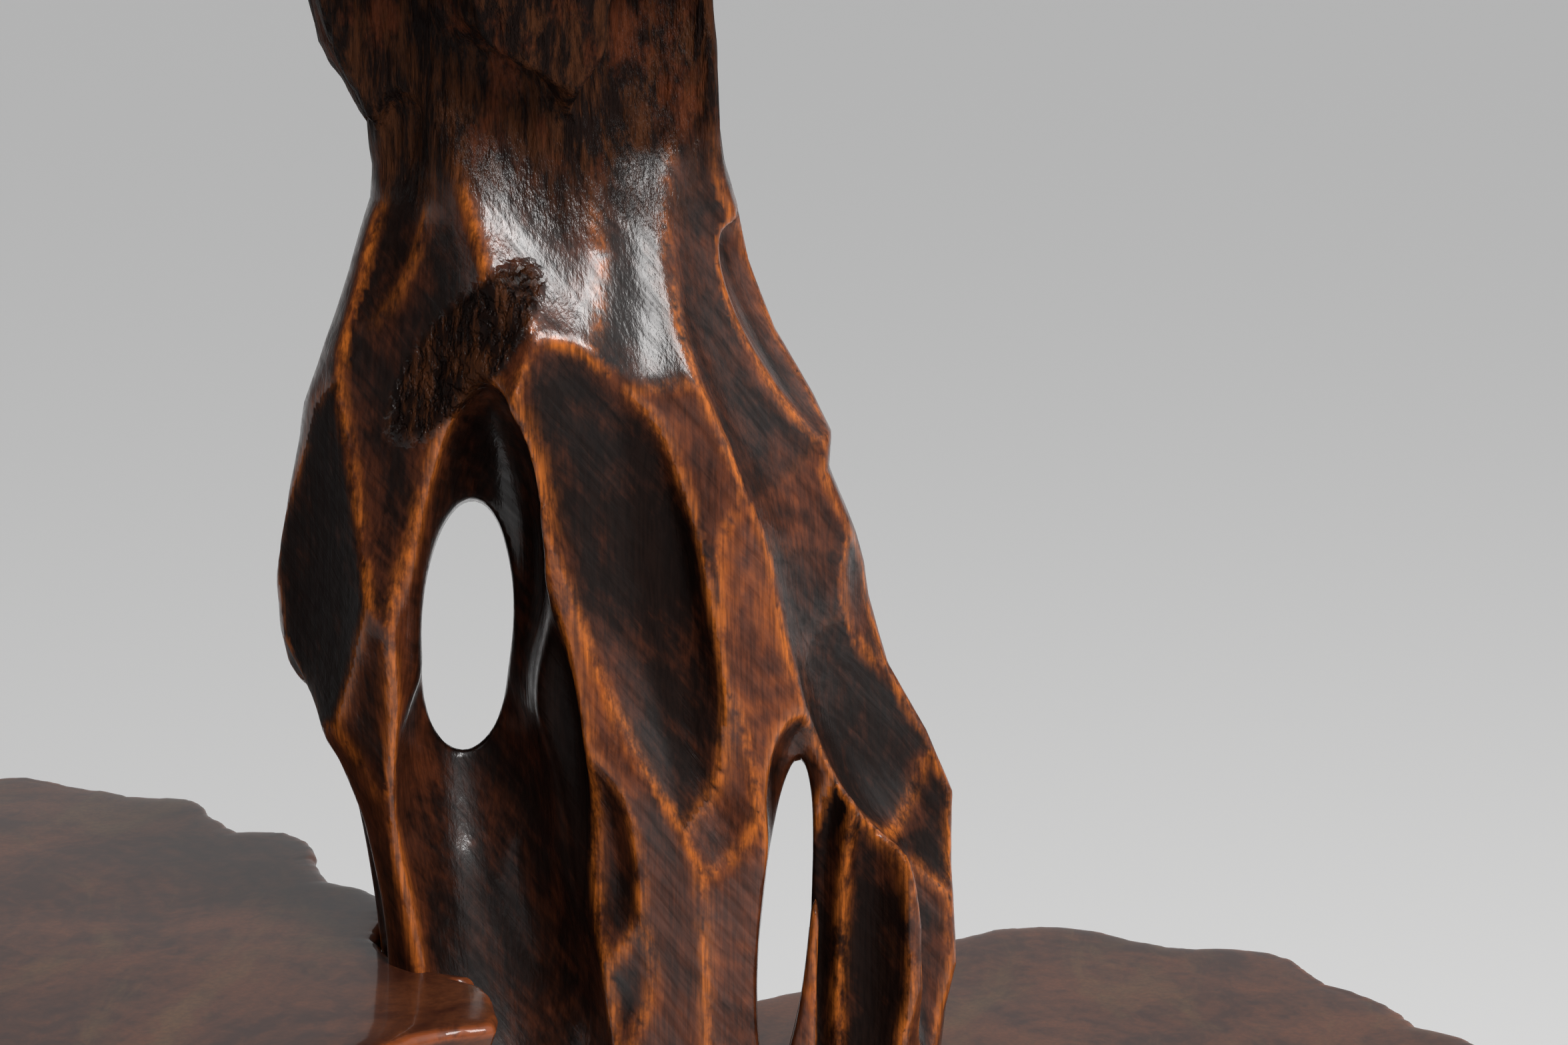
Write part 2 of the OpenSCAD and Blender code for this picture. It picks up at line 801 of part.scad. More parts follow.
module top_slab() {
  color(slab_colour)
  difference() {
    live_slab(axis_x, axis_y, top_slab_radius, top_seed, slab_bottom, top_slab_thickness);
    translate([axis_x, axis_y, slab_bottom - past])
      cylinder(r = nut_pocket_radius, h = top_slab_thickness + 2 * past);
    translate([axis_x, axis_y, plug_bottom])
      cylinder(r = plug_radius + screw_clearance, h = plug_thickness + past);
    round_the_axis(plate_screw_count, plate_screw_circle, top_screw_start)
      translate([0, 0, slab_bottom - past])
      cylinder(r = plate_screw_radius + screw_clearance, h = plate_screw_length - plate_thickness + 2 * past);
  }
}

module top_plug() {
  color(slab_colour)
  translate([axis_x, axis_y, plug_bottom])
    cylinder(r = plug_radius, h = plug_thickness);
}

base_slab();
foot_pads();
foot_pad_screws();
trunk();
trunk_coach_screws();
trunk_washers();
left_limb();
left_limb_dowels();
left_tray();
left_tray_screws();
right_limb();
right_limb_dowels();
right_tray();
right_tray_screws();
bearing_base_plate();
base_plate_screws();
lower_race();
bearing_balls();
ball_cage();
upper_race();
bearing_top_plate();
top_plate_screws();
spindle();
spindle_washer();
spindle_nut();
top_slab();
top_plug();
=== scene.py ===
"""Looks of the root-carved sculpting stand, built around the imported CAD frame.

The trunk and its two limbs are carved as signed distance fields: a lofted root, less gouge
hollows, less two openings. The four slabs are turned outlines with rounded live edges.
Lengths are in millimetres along the frame's axes until a mesh is made.
"""

import json
import math

import bpy
import numpy as np
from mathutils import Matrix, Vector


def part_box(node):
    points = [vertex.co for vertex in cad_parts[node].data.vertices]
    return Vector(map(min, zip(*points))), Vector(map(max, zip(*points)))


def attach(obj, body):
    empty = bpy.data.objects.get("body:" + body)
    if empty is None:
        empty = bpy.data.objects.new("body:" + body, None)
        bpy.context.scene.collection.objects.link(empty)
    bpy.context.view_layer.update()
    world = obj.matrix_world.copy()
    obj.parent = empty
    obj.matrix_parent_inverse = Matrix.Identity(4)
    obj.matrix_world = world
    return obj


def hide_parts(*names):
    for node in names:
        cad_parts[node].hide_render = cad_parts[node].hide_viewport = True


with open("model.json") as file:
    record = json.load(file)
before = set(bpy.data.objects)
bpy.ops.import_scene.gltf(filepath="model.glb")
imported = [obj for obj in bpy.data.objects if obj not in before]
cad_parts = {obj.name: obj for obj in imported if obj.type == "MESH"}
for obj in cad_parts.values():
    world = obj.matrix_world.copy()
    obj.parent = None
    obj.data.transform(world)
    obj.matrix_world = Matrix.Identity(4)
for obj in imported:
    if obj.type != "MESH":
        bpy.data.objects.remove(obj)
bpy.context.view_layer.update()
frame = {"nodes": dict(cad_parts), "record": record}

MM = 0.001
NODES = frame["nodes"]


def node_box(name):
    """Lowest and highest corner of a CAD node, in millimetres."""
    low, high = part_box(name)
    return np.array(low) / MM, np.array(high) / MM


TRUNK_LOW, TRUNK_HIGH = node_box("trunk")
FOOT_Z = TRUNK_LOW[2]
CROWN_Z = TRUNK_HIGH[2]
PLATE_LOW, PLATE_HIGH = node_box("bearing_base_plate")
AXIS = (PLATE_LOW + PLATE_HIGH) / 2


# ------------------------------------------------------------------ noise
def hashed(ix, iy, iz, seed):
    """One number from 0 to 1 for each point of an integer lattice."""
    h = ix * np.int64(374761393) + iy * np.int64(668265263) + iz * np.int64(1274126177)
    h = (h + np.int64(seed) * np.int64(974634777)) & np.int64(0xFFFFFFFF)
    h = ((h ^ (h >> np.int64(13))) * np.int64(1103515245)) & np.int64(0xFFFFFFFF)
    h = ((h ^ (h >> np.int64(15))) * np.int64(668265263)) & np.int64(0xFFFFFFFF)
    h = h ^ (h >> np.int64(16))
    return (h / np.float64(0xFFFFFFFF)).astype(np.float32)


def value_noise(x, y, z, seed):
    """Smooth noise from -1 to 1 with one wave about every two units."""
    x, y, z = np.broadcast_arrays(x, y, z)
    cells = []
    fades = []
    for a in (x, y, z):
        whole = np.floor(a)
        part = (a - whole).astype(np.float32)
        cells.append(whole.astype(np.int64))
        fades.append(part * part * (3 - 2 * part))
    total = 0
    for dx in (0, 1):
        wx = fades[0] if dx else 1 - fades[0]
        for dy in (0, 1):
            wy = fades[1] if dy else 1 - fades[1]
            for dz in (0, 1):
                wz = fades[2] if dz else 1 - fades[2]
                total = total + hashed(cells[0] + dx, cells[1] + dy, cells[2] + dz, seed) * wx * wy * wz
    return total * 2 - 1


def layered_noise(p, size, seed, layers=3):
    """Several octaves of noise at points p. size is the wavelength along each axis."""
    total = 0
    strength = 1.0
    for i in range(layers):
        s = [2.0 ** i / v for v in size]
        total = total + strength * value_noise(p[:, 0] * s[0], p[:, 1] * s[1], p[:, 2] * s[2], seed + i)
        strength *= 0.5
    return total


def smooth_step(low, high, v):
    """0 up to low, 1 from high on, and smooth between; low may be the larger."""
    t = np.clip((v - low) / (high - low), 0, 1)
    return t * t * (3 - 2 * t)


def smooth_max(a, b, radius):
    """The larger of a and b, rounded where they are about equal."""
    h = np.clip(radius - np.abs(a - b), 0, None)
    return np.maximum(a, b) + h * h / (4 * radius)


def smooth_min(a, b, radius):
    return -smooth_max(-a, -b, radius)


# ------------------------------------------------------------------ the lofted root
# height, left side x, right side x, centre y, half depth
ROOT_ROWS = np.array([
    (62, -100, 240, -5, 150), (78, -92, 232, -5, 142), (100, -78, 217, -6, 130),
    (130, -62, 200, -8, 116), (165, -49, 186, -11, 104), (205, -39, 176, -14, 95),
    (250, -31, 170, -17, 88), (300, -26, 168, -20, 83), (400, -19, 176, -23, 76),
    (465, -20, 184, -25, 74), (510, -26, 189, -25, 74), (528, -28, 193, -25, 75),
    (565, -31, 191, -25, 76), (592, -36, 192, -25, 77), (618, -45, 181, -25, 78),
    (644, -58, 166, -25, 80), (670, -58, 159, -25, 80), (683, -59, 157, -25, 80),
    (696, -58, 153, -25, 80), (722, -50, 143, -25, 78), (735, -47, 144, -25, 77),
    (748, -45, 138, -25, 75), (772, -37, 124, -25, 70), (798, -27, 115, -25, 62),
    (823, -19, 109, -25, 56), (836, -19, 107, -25, 55), (850, -22, 106, -25, 56),
    (880, -38, 105, -25, 63), (895, -41.5, 104, -25, 67), (940, -49, 111, -25, 76),
    (985, -51, 115, -25, 81),
], float)
ROOT_COUNT = 5
ROOT_SPREAD_TOP = 330.0
ROOT_SWELL = 0.15
# bearing of the first swelling, the other way round
ROOT_TURN = 20
# wood left on outside these rows for the gouge cuts to take off again, none towards the crown
SPARE_WOOD = 3.5
SPARE_FROM, SPARE_TO = 800, 850


def root_row(z, column):
    return np.interp(z, ROOT_ROWS[:, 0], ROOT_ROWS[:, column]).astype(np.float32)


def root_field(x, y, z):
    """Signed distance from the uncut root, about right near its surface."""
    spare = SPARE_WOOD * smooth_step(SPARE_TO, SPARE_FROM, z)
    left = root_row(z, 1) - spare
    right = root_row(z, 2) + spare
    middle_y = root_row(z, 3)
    half_y = root_row(z, 4) + spare
    half_x = (right - left) / 2
    u = x - (left + right) / 2
    v = y - middle_y
    spread = np.clip((ROOT_SPREAD_TOP - z) / ROOT_SPREAD_TOP, 0, 1) ** 2
    bearing = np.arctan2(v / half_y, u / half_x)
    swell = 1 + ROOT_SWELL * spread * np.cos(ROOT_COUNT * (bearing + math.radians(ROOT_TURN)))
    half_x = half_x * swell
    half_y = half_y * swell
    k0 = np.sqrt((u / half_x) ** 2 + (v / half_y) ** 2)
    k1 = np.sqrt((u / half_x ** 2) ** 2 + (v / half_y ** 2) ** 2)
    return k0 * (k0 - 1) / np.maximum(k1, 1e-6)


def root_point(bearing, z):
    """Point and outward normal of the uncut root at a bearing and a height."""
    a = math.radians(bearing)
    left, right, cy, hy = (float(root_row(z, c)) for c in (1, 2, 3, 4))
    hx = (right - left) / 2
    p = np.array([(left + right) / 2 + hx * math.cos(a), cy + hy * math.sin(a), z])
    step = 1.0
    n = np.array([
        float(root_field(*(p + step * axis))) - float(root_field(*(p - step * axis)))
        for axis in np.eye(3)
    ])
    return p, n / np.linalg.norm(n)


def front_bearing(x, z):
    """Bearing of the front point of the root that has this x."""
    left, right = float(root_row(z, 1)), float(root_row(z, 2))
    c = np.clip((x - (left + right) / 2) / ((right - left) / 2), -0.995, 0.995)
    return -math.degrees(math.acos(c))


def turned(n, yaw, rise):
    """A direction turned sideways by yaw and upwards by rise, in degrees."""
    a = math.radians(yaw)
    c, d = math.cos(a), math.sin(a)
    n = np.array([n[0] * c - n[1] * d, n[0] * d + n[1] * c, n[2] + math.tan(math.radians(rise))])
    return n / np.linalg.norm(n)


# how far round a hollow its blend with the surface can reach
HOLLOW_MARGIN = 6


class Hollow:
    """An ellipsoid gouge cut into a surface at p with outward normal n.

    It is half_width by half_height at the surface and depth deep. steep is 0 for upright
    walls and near 1 for a shallow dish.
    """

    def __init__(self, p, n, half_width, half_height, lean, depth, steep=0.45, tone=0.4):
        up = np.array([0, 0, 1.0]) - n[2] * n
        up = up / np.linalg.norm(up)
        side = np.cross(up, n)
        a = math.radians(lean)
        long_axis = math.cos(a) * up + math.sin(a) * side
        short_axis = math.cos(a) * side - math.sin(a) * up
        rim = math.sqrt(1 - steep * steep)
        thick = depth / (1 - steep)
        self.radii = np.array([half_width / rim, half_height / rim, thick])
        self.centre = p + n * steep * thick
        self.tone = tone
        self.axes = np.array([short_axis, long_axis, n])
        self.reach = np.abs(self.axes.T) @ self.radii + HOLLOW_MARGIN

    def field(self, x, y, z):
        """Positive inside the cut, as a distance from its wall."""
        dx, dy, dz = x - self.centre[0], y - self.centre[1], z - self.centre[2]
        k0 = 0
        k1 = 0
        for axis, radius in zip(self.axes, self.radii):
            along = (dx * axis[0] + dy * axis[1] + dz * axis[2]) / radius
            k0 = k0 + along * along
            k1 = k1 + (along / radius) ** 2
        k0 = np.sqrt(k0)
        return k0 * (1 - k0) / np.sqrt(np.maximum(k1, 1e-12))

    def tone_at(self, x, y, z):
        return self.tone


# how softly the tones of neighbouring hollows in a channel run into each other
TONE_SHADING = 2.5


class Channel:
    """Several hollows blended softly into one."""

    def __init__(self, hollows, rounding):
        self.hollows = hollows
        self.rounding = rounding
        low = np.min([h.centre - h.reach for h in hollows], axis=0)
        high = np.max([h.centre + h.reach for h in hollows], axis=0)
        self.centre = (low + high) / 2
        self.reach = (high - low) / 2

    def field(self, x, y, z):
        total = self.hollows[0].field(x, y, z)
        for h in self.hollows[1:]:
            total = smooth_max(total, h.field(x, y, z), self.rounding)
        return total

    def tone_at(self, x, y, z):
        """Tone of the hollow that is deepest here, shading off between neighbours."""
        fields = [h.field(x, y, z) for h in self.hollows]
        most = np.max(fields, axis=0)
        weights = [np.exp((f - most) / TONE_SHADING) for f in fields]
        return sum(w * h.tone for w, h in zip(weights, self.hollows)) / sum(weights)


FACET_DISH = 2.5
FACET_STEEP = 0.9


def facet(x, z, yaw, tilt, sink, half_width, half_height, lean, tone):
    """A nearly flat cut on the front, facing yaw degrees right of the front and tilt degrees up."""
    p, n = root_point(front_bearing(x, z), z)
    a, b = math.radians(yaw), math.radians(tilt)
    facing = np.array([math.sin(a) * math.cos(b), -math.cos(a) * math.cos(b), math.sin(b)])
    return Hollow(p - n * sink, facing, half_width, half_height, lean, FACET_DISH, FACET_STEEP, tone)


def cut_root(bearing, z, half_width, half_height, lean, depth, steep=0.45, yaw=0.0, rise=0.0, tone=0.4):
    """A gouge cut placed on the root by bearing and height."""
    p, n = root_point(bearing, z)
    return Hollow(p, turned(n, yaw, rise), half_width, half_height, lean, depth, steep, tone)


FLARE_LENGTH = 22.0


class Opening:
    """An oval hole right through the root that widens by flare behind its throat.

    It runs backwards, down by slope and to the left by swing, in degrees. throat is how far
    along it from its centre the narrow part ends.
    """

    def __init__(self, x, y, z, half_width, half_height, lean, slope, swing, flare, throat):
        a, b = math.radians(slope), math.radians(swing)
        along = np.array([-math.sin(b) * math.cos(a), math.cos(b) * math.cos(a), -math.sin(a)])
        up = np.array([0, 0, 1.0]) - along[2] * along
        up = up / np.linalg.norm(up)
        side = np.cross(along, up)
        c = math.radians(lean)
        self.long_axis = math.cos(c) * up + math.sin(c) * side
        self.short_axis = math.cos(c) * side - math.sin(c) * up
        self.along = along
        self.centre = np.array([x, y, z], float)
        self.half = (half_width, half_height)
        self.flare = flare
        self.throat = throat

    def field(self, x, y, z):
        dx, dy, dz = x - self.centre[0], y - self.centre[1], z - self.centre[2]
        u = dx * self.short_axis[0] + dy * self.short_axis[1] + dz * self.short_axis[2]
        v = dx * self.long_axis[0] + dy * self.long_axis[1] + dz * self.long_axis[2]
        s = dx * self.along[0] + dy * self.along[1] + dz * self.along[2]
        grow = self.flare * (1 - np.exp(-(np.maximum(s - self.throat, 0) / FLARE_LENGTH) ** 2))
        a = self.half[0] + grow
        b = self.half[1] + grow
        k0 = np.sqrt((u / a) ** 2 + (v / b) ** 2)
        k1 = np.sqrt((u / a ** 2) ** 2 + (v / b ** 2) ** 2)
        return k0 * (1 - k0) / np.maximum(k1, 1e-6)


# ------------------------------------------------------------------ gouge cuts
# the niche round the left opening and the trough below it, as one channel;
# columns: x, z, half width, half height, lean, depth, steepness, yaw, rise, tone. The tone is part stain and
# part painted light and shade: walls turned towards the light get lighter tones and walls turned away get
# darker ones.
NICHE = [
    (17, 692, 25, 76, 2, 62, 0.08, 0, 0, 0.22),
    (22, 560, 30, 112, -2, 30, 0.25, 34, 33, 0.28),
    # the trough's left wall, turned towards the light, its tone raised as painted light
    (2, 590, 10, 92, -3, 9, 0.50, 30, 4, 0.70),
    (32, 488, 30, 84, 0, 17, 0.50, 34, 28, 0.24),
    # the trough's right wall, turned away from the light, its tone below zero as painted shade
    (44, 590, 12, 90, -3, 24, 0.20, -20, 8, -0.25),
]
# the big leaning hollow in the middle: broad left side, and a steep right side turned away from the light and
# painted dark as shade
MIDDLE_HOLLOW = [
    (71, 712, 28, 92, -16, 24, 0.45, -8, -6, 0.10),
    (78, 655, 20, 58, -26, 17, 0.60, -8, -4, 0.36),
    (88, 680, 15, 84, -8, 29, 0.20, -26, 0, 0.02),
    (101, 630, 9, 42, -9, 16, 0.20, -20, 0, 0.04),
]
CHANNEL_ROUNDING = 14
# the other gouges on the front, with the same columns
FRONT_CUTS = [
    (61, 590, 19, 57, -6, 19, 0.45, -10, -4, 0.10),
    (72, 545, 16, 40, 4, 14, 0.55, -8, 0, 0.24),
    # hood over the right opening, and the grooves down the right root
    (143, 608, 17, 36, 4, 30, 0.20, -4, 0, 0.34),
    (151, 552, 9, 82, 2, 30, 0.20, -12, 0, 0.0),
    (165, 540, 14, 80, 2, 19, 0.35, -4, 0, 0.0),
    (187, 552, 14, 66, 3, 11, 0.60, 0, 0, 0.34),
]
# nearly flat facets on the front: x, z, yaw, tilt, sink, half width, half height, lean, tone; the tone is
# part stain and part painted light and shade
FRONT_FACETS = [
    (72, 640, -6, 2, 12, 15, 44, -30, 0.70),
    (108, 734, 8, 4, 6, 24, 32, -10, 0.42),
    (113, 690, -6, 0, 4, 13, 44, -5, 0.30),
    # a facet turned towards the light, its tone raised as painted light
    (132, 680, 22, 0, 5, 20, 48, -10, 0.72),
    (118, 638, 0, -4, 9, 11, 26, 6, 0.50),
    (156, 672, 38, 2, 5, 17, 42, -16, 0.34),
    (164, 648, 34, -4, 7, 14, 28, -18, 0.14),
    (184, 614, 44, 0, 6, 13, 26, -12, 0.10),
    # left side of the trunk; the two facets at tone 0 are turned away from the light and painted dark as
    # shade
    (-40, 722, -48, 0, 3, 26, 62, 12, 0.0),
    (-22, 650, -30, -6, 3, 21, 72, -8, 0.40),
    (-50, 654, -64, -6, 1, 14, 42, 6, 0.0),
    # above the niche
    (-4, 804, -26, 6, 5, 18, 62, 0, 0.20),
    (18, 778, -16, 6, 4, 15, 46, 40, 0.10),
    (54, 800, 14, 27, 7, 19, 66, -42, 0.30),
    (86, 794, 18, 22, 7, 16, 58, 6, 0.15),
    (113, 784, 42, 14, 5, 15, 62, -15, 0.36),
    (137, 728, 44, 4, 4, 16, 42, -22, 0.62),
    # below the ridges, between the two openings
    (117, 556, 14, 2, 7, 15, 66, 4, 0.58),
    (93, 545, -12, 0, 7, 15, 66, 0, 0.50),
]
# everywhere else: bearing, then the same columns from z on
SIDE_CUTS = [
    (-140, 800, 16, 50, -4, 6, 0.60, 0, 0, 0.1), (170, 770, 26, 48, 10, 5, 0.70, 0, 0, 0.0),
    (-28, 790, 16, 46, -8, 5, 0.60, 0, 0, 0.4), (-8, 770, 18, 40, 8, 5, 0.60, 0, 0, 0.4),
    (-30, 700, 18, 34, -16, 4, 0.60, 0, 0, 0.4), (-12, 650, 18, 40, 12, 5, 0.60, 0, 0, 0.2),
    (-20, 590, 16, 34, -6, 5, 0.60, 0, 0, 0.3), (172, 700, 22, 44, -8, 5, 0.70, 0, 0, 0.0),
    (-172, 640, 20, 46, 8, 5, 0.70, 0, 0, 0.0), (-166, 580, 18, 44, -10, 4, 0.70, 0, 0, 0.1),
    (-176, 520, 20, 44, -6, 4, 0.70, 0, 0, 0.1), (178, 580, 20, 44, 6, 4, 0.70, 0, 0, 0.0),
]
GOLDEN_ANGLE = 137.508
BEARING_SCATTER = 24.0
HEIGHT_SCATTER = 40.0


def scattered(count, low, high, bearings, seed, width, height, depth, tones):
    """Uneven cuts spread loosely over a range of bearings and heights."""
    cuts = []
    rng = np.random.default_rng(seed)
    for i in range(count):
        turn = (i * GOLDEN_ANGLE % 360) / 360
        across, along = rng.uniform(-0.5, 0.5, 2)
        bearing = bearings[0] + turn * (bearings[1] - bearings[0]) + BEARING_SCATTER * across
        z = low + (i + 0.5) / count * (high - low) + HEIGHT_SCATTER * along
        vary = rng.uniform(0.6, 1.35, 3)
        size = (width * vary[0], height * vary[1])
        lean = rng.uniform(-18, 18)
        tone = rng.uniform(*tones)
        cuts.append(cut_root(bearing, z, *size, lean, depth * vary[2], 0.65, tone=tone))
    return cuts


def all_cuts():
    cuts = scattered(13, 520, 700, (35, 145), 5, 44, 80, 13, (0.05, 0.5))
    cuts += scattered(22, 510, 770, (28, 152), 6, 25, 40, 9, (0.1, 0.7))
    cuts += scattered(28, 90, 350, (-180, 180), 8, 52, 100, 16, (0.05, 0.5))
    cuts += scattered(42, 90, 420, (-180, 180), 9, 28, 50, 10, (0.1, 0.75))
    cuts += [cut_root(*c) for c in SIDE_CUTS]
    cuts += [facet(*f) for f in FRONT_FACETS]
    cuts += [cut_root(front_bearing(c[0], c[1]), *c[1:]) for c in FRONT_CUTS]
    for rows in (NICHE, MIDDLE_HOLLOW):
        cuts.append(Channel([cut_root(front_bearing(c[0], c[1]), *c[1:]) for c in rows], CHANNEL_ROUNDING))
    return cuts


CUTS = all_cuts()
OPENINGS = [
    Opening(9.0, -14, 659.5, 16.8, 44.2, 4, 14, 6, 8, -28),
    Opening(130.5, -18, 541, 9.0, 60, 5, 19, 0, 7, -44),
]
RIDGE_ROUNDING = 4.5
OPENING_ROUNDING = 3.0


def wobble(x, y, z):
    """Slow unevenness of the whole root."""
    return 1.6 * value_noise(x / 38, y / 38, z / 60, 21)


def trunk_field(x, y, z, masks=False):
    """Signed distance from the carved trunk. With masks it also gives the distance from the uncut
    root, the gap between the two deepest cuts, and the tone.
    """
    root = root_field(x, y, z) + wobble(x, y, z)
    total = root
    first = root.copy()
    second = np.full_like(first, -1e3)
    tone = np.full_like(first, 0.45)
    for cut in CUTS:
        c, r = cut.centre, cut.reach
        near = (np.abs(x - c[0]) < r[0]) & (np.abs(y - c[1]) < r[1]) & (np.abs(z - c[2]) < r[2])
        if not near.any():
            continue
        v = cut.field(x[near], y[near], z[near]).astype(np.float32)
        total[near] = smooth_max(total[near], v, RIDGE_ROUNDING)
        if masks:
            was = first[near]
            second[near] = np.maximum(second[near], np.minimum(was, v))
            first[near] = np.maximum(was, v)
            tone[near] = np.where(v > was, cut.tone_at(x[near], y[near], z[near]), tone[near])
    for hole in OPENINGS:
        v = hole.field(x, y, z)
        total = smooth_max(total, v, OPENING_ROUNDING)
    total = np.maximum(total, np.maximum(z - CROWN_Z, FOOT_Z - z))
    if masks:
        return total, root, first - second, tone
    return total


def grid_trunk_field(xs, ys, zs):
    """The trunk's field on a grid, each cut worked out only near itself."""
    x, y, z = xs[:, None, None], ys[None, :, None], zs[None, None, :]
    total = (root_field(x, y, z) + wobble(x, y, z)).astype(np.float32)
    for cut in CUTS:
        spans = []
        for values, c, r in zip((xs, ys, zs), cut.centre, cut.reach):
            spans.append(slice(np.searchsorted(values, c - r), np.searchsorted(values, c + r)))
        a, b, c = spans
        if a.start == a.stop or b.start == b.stop or c.start == c.stop:
            continue
        v = cut.field(x[a], y[:, b], z[:, :, c])
        total[a, b, c] = smooth_max(total[a, b, c], v, RIDGE_ROUNDING)
    for hole in OPENINGS:
        total = smooth_max(total, hole.field(x, y, z), OPENING_ROUNDING)
    total = np.maximum(total, np.maximum(z - CROWN_Z, FOOT_Z - z))
    return total.astype(np.float32)


# ------------------------------------------------------------------ meshing a field
def surface_net(values, xs, ys, zs):
    """Quads of the zero surface of values on a grid: points, and faces turned outwards."""
    inside = values < 0
    corners = [(i, j, k) for i in (0, 1) for j in (0, 1) for k in (0, 1)]
    shape = tuple(n - 1 for n in values.shape)

    def corner(array, c):
        return array[c[0]:c[0] + shape[0], c[1]:c[1] + shape[1], c[2]:c[2] + shape[2]]

    count = np.zeros(shape, np.int8)
    for c in corners:
        count += corner(inside, c)
    cells = np.argwhere((count > 0) & (count < 8))
    index = np.full(shape, -1, np.int64)
    index[tuple(cells.T)] = np.arange(len(cells))
    axes = (xs, ys, zs)
    total = np.zeros((len(cells), 3))
    crossings = np.zeros(len(cells))
    for c in corners:
        for axis in range(3):
            if c[axis]:
                continue
            other = list(c)
            other[axis] = 1
            a = values[tuple((cells + c).T)]
            b = values[tuple((cells + other).T)]
            cross = (a < 0) != (b < 0)
            t = np.where(cross, a / np.where(cross, a - b, 1), 0)
            for d in range(3):
                low = axes[d][cells[:, d] + c[d]]
                high = axes[d][cells[:, d] + other[d]]
                total[:, d] += np.where(cross, low + t * (high - low), 0)
            crossings += cross
    points = total / crossings[:, None]
    faces = []
    for axis in range(3):
        u, v = (axis + 1) % 3, (axis + 2) % 3
        low = [slice(0, -1) if d == axis else slice(1, -1) for d in range(3)]
        high = [slice(1, None) if d == axis else slice(1, -1) for d in range(3)]
        change = inside[tuple(low)] != inside[tuple(high)]
        edges = np.argwhere(change)
        for d in (u, v):
            edges[:, d] += 1
        out = inside[tuple(edges.T)]
        step_u = np.eye(3, dtype=int)[u]
        step_v = np.eye(3, dtype=int)[v]
        ring = [edges - step_u - step_v, edges - step_v, edges, edges - step_u]
        quad = np.stack([index[tuple(r.T)] for r in ring], 1)
        quad[~out] = quad[~out][:, ::-1]
        faces.append(quad)
    return points, np.concatenate(faces)


def gradient(field, p, step=0.35):
    """Slope of a field at points p."""
    g = np.empty_like(p)
    for d in range(3):
        shift = np.zeros(3)
        shift[d] = step
        g[:, d] = (field(*(p + shift).T) - field(*(p - shift).T)) / (2 * step)
    return g


def settle(field, p, passes=2, limit=1.5):
    """Moves points on to the zero surface, and returns them with their outward normals."""
    for _ in range(passes):
        g = gradient(field, p)
        f = field(*p.T)
        step = g * (f / np.maximum((g * g).sum(1), 0.2))[:, None]
        length = np.linalg.norm(step, axis=1)
        p = p - step * (np.minimum(length, limit) / np.maximum(length, 1e-9))[:, None]
    g = gradient(field, p)
    return p, g / np.maximum(np.linalg.norm(g, axis=1), 1e-9)[:, None]


def make_mesh(name, points, faces, attributes=None):
    """A smooth mesh object from points in millimetres, with one float attribute for each name."""
    mesh = bpy.data.meshes.new(name)
    mesh.from_pydata((np.asarray(points) * MM).tolist(), [], faces)
    mesh.shade_smooth()
    for key, values in (attributes or {}).items():
        layer = mesh.attributes.new(key, "FLOAT", "POINT")
        layer.data.foreach_set("value", np.asarray(values, np.float32))
    obj = bpy.data.objects.new(name, mesh)
    bpy.context.scene.collection.objects.link(obj)
    return obj


# ------------------------------------------------------------------ the trunk
def spaced(low, fine_low, fine_high, high, coarse, fine):
    """Grid lines that are close together between fine_low and fine_high."""
    below = np.arange(low, fine_low, coarse)
    middle = np.arange(fine_low, fine_high, fine)
    above = np.arange(fine_high, high + coarse, coarse)
    return np.concatenate([below, middle, above])


FINE_STEP = 2.1
ROUGH_STEP = 4.6
MARGIN = 6.0
# heights of the finely meshed stretch, which has both openings and the hollows round them
FINE_FROM, FINE_TO = 480, 900
# depth below the uncut root where a hollow is at its darkest
DARKEST_DEPTH = 26
# the faces at the crown and the foot stay flat this far in
FLAT_END = 4


def grid_lines(axis, low, high, step):
    return np.arange(low[axis] - MARGIN, high[axis] + MARGIN + step, step)


# heights between which the natural skin of the top begins, and how far that border wanders
SKIN_FROM, SKIN_TO = 812, 850
RAGGED = 16
# x, z, half width and half length of the patch of natural skin above the niche, and its lean
LENS_PATCH = (15, 771, 13, 40)
LENS_LEAN = 40


def natural_mask(p):
    """1 where the root keeps its rough natural skin: the top of the trunk, and a lens above the niche."""
    x, y, z = p.T
    ragged = RAGGED * layered_noise(p, (30, 30, 22), 31, 2)
    top = smooth_step(SKIN_FROM, SKIN_TO, z + ragged)
    a = math.radians(LENS_LEAN)
    u = (x - LENS_PATCH[0]) * math.cos(a) - (z - LENS_PATCH[1]) * math.sin(a)
    v = (x - LENS_PATCH[0]) * math.sin(a) + (z - LENS_PATCH[1]) * math.cos(a)
    away = np.sqrt((u / LENS_PATCH[2]) ** 2 + (v / LENS_PATCH[3]) ** 2)
    lens = smooth_step(1.15, 0.90, away + ragged / 150) * (y < AXIS[1])
    return np.clip(top, 0, 1), np.clip(lens, 0, 1)


RIDGE_WIDTH = 2.5
HALO_WIDTH = 6.5
# two fields of unit slope can't part faster than this
STEEPEST_GAP = 2.0


def ridge_masks(points, gap):
    """1 on the ridges between cuts, fading out close by and farther off, and less where a ridge is blunt."""
    slope = 0
    step = 0.5
    for d in range(3):
        shift = np.zeros(3)
        shift[d] = step
        slope = slope + ((trunk_field(*(points + shift).T, masks=True)[2] - gap) / step) ** 2
    slope = np.sqrt(slope)
    distance = np.clip(gap, 0, None) / np.clip(slope, 0.15, STEEPEST_GAP)
    sharp = smooth_step(0.15, 0.70, slope)
    return np.exp(-(distance / RIDGE_WIDTH) ** 2) * sharp, np.exp(-distance / HALO_WIDTH) * sharp


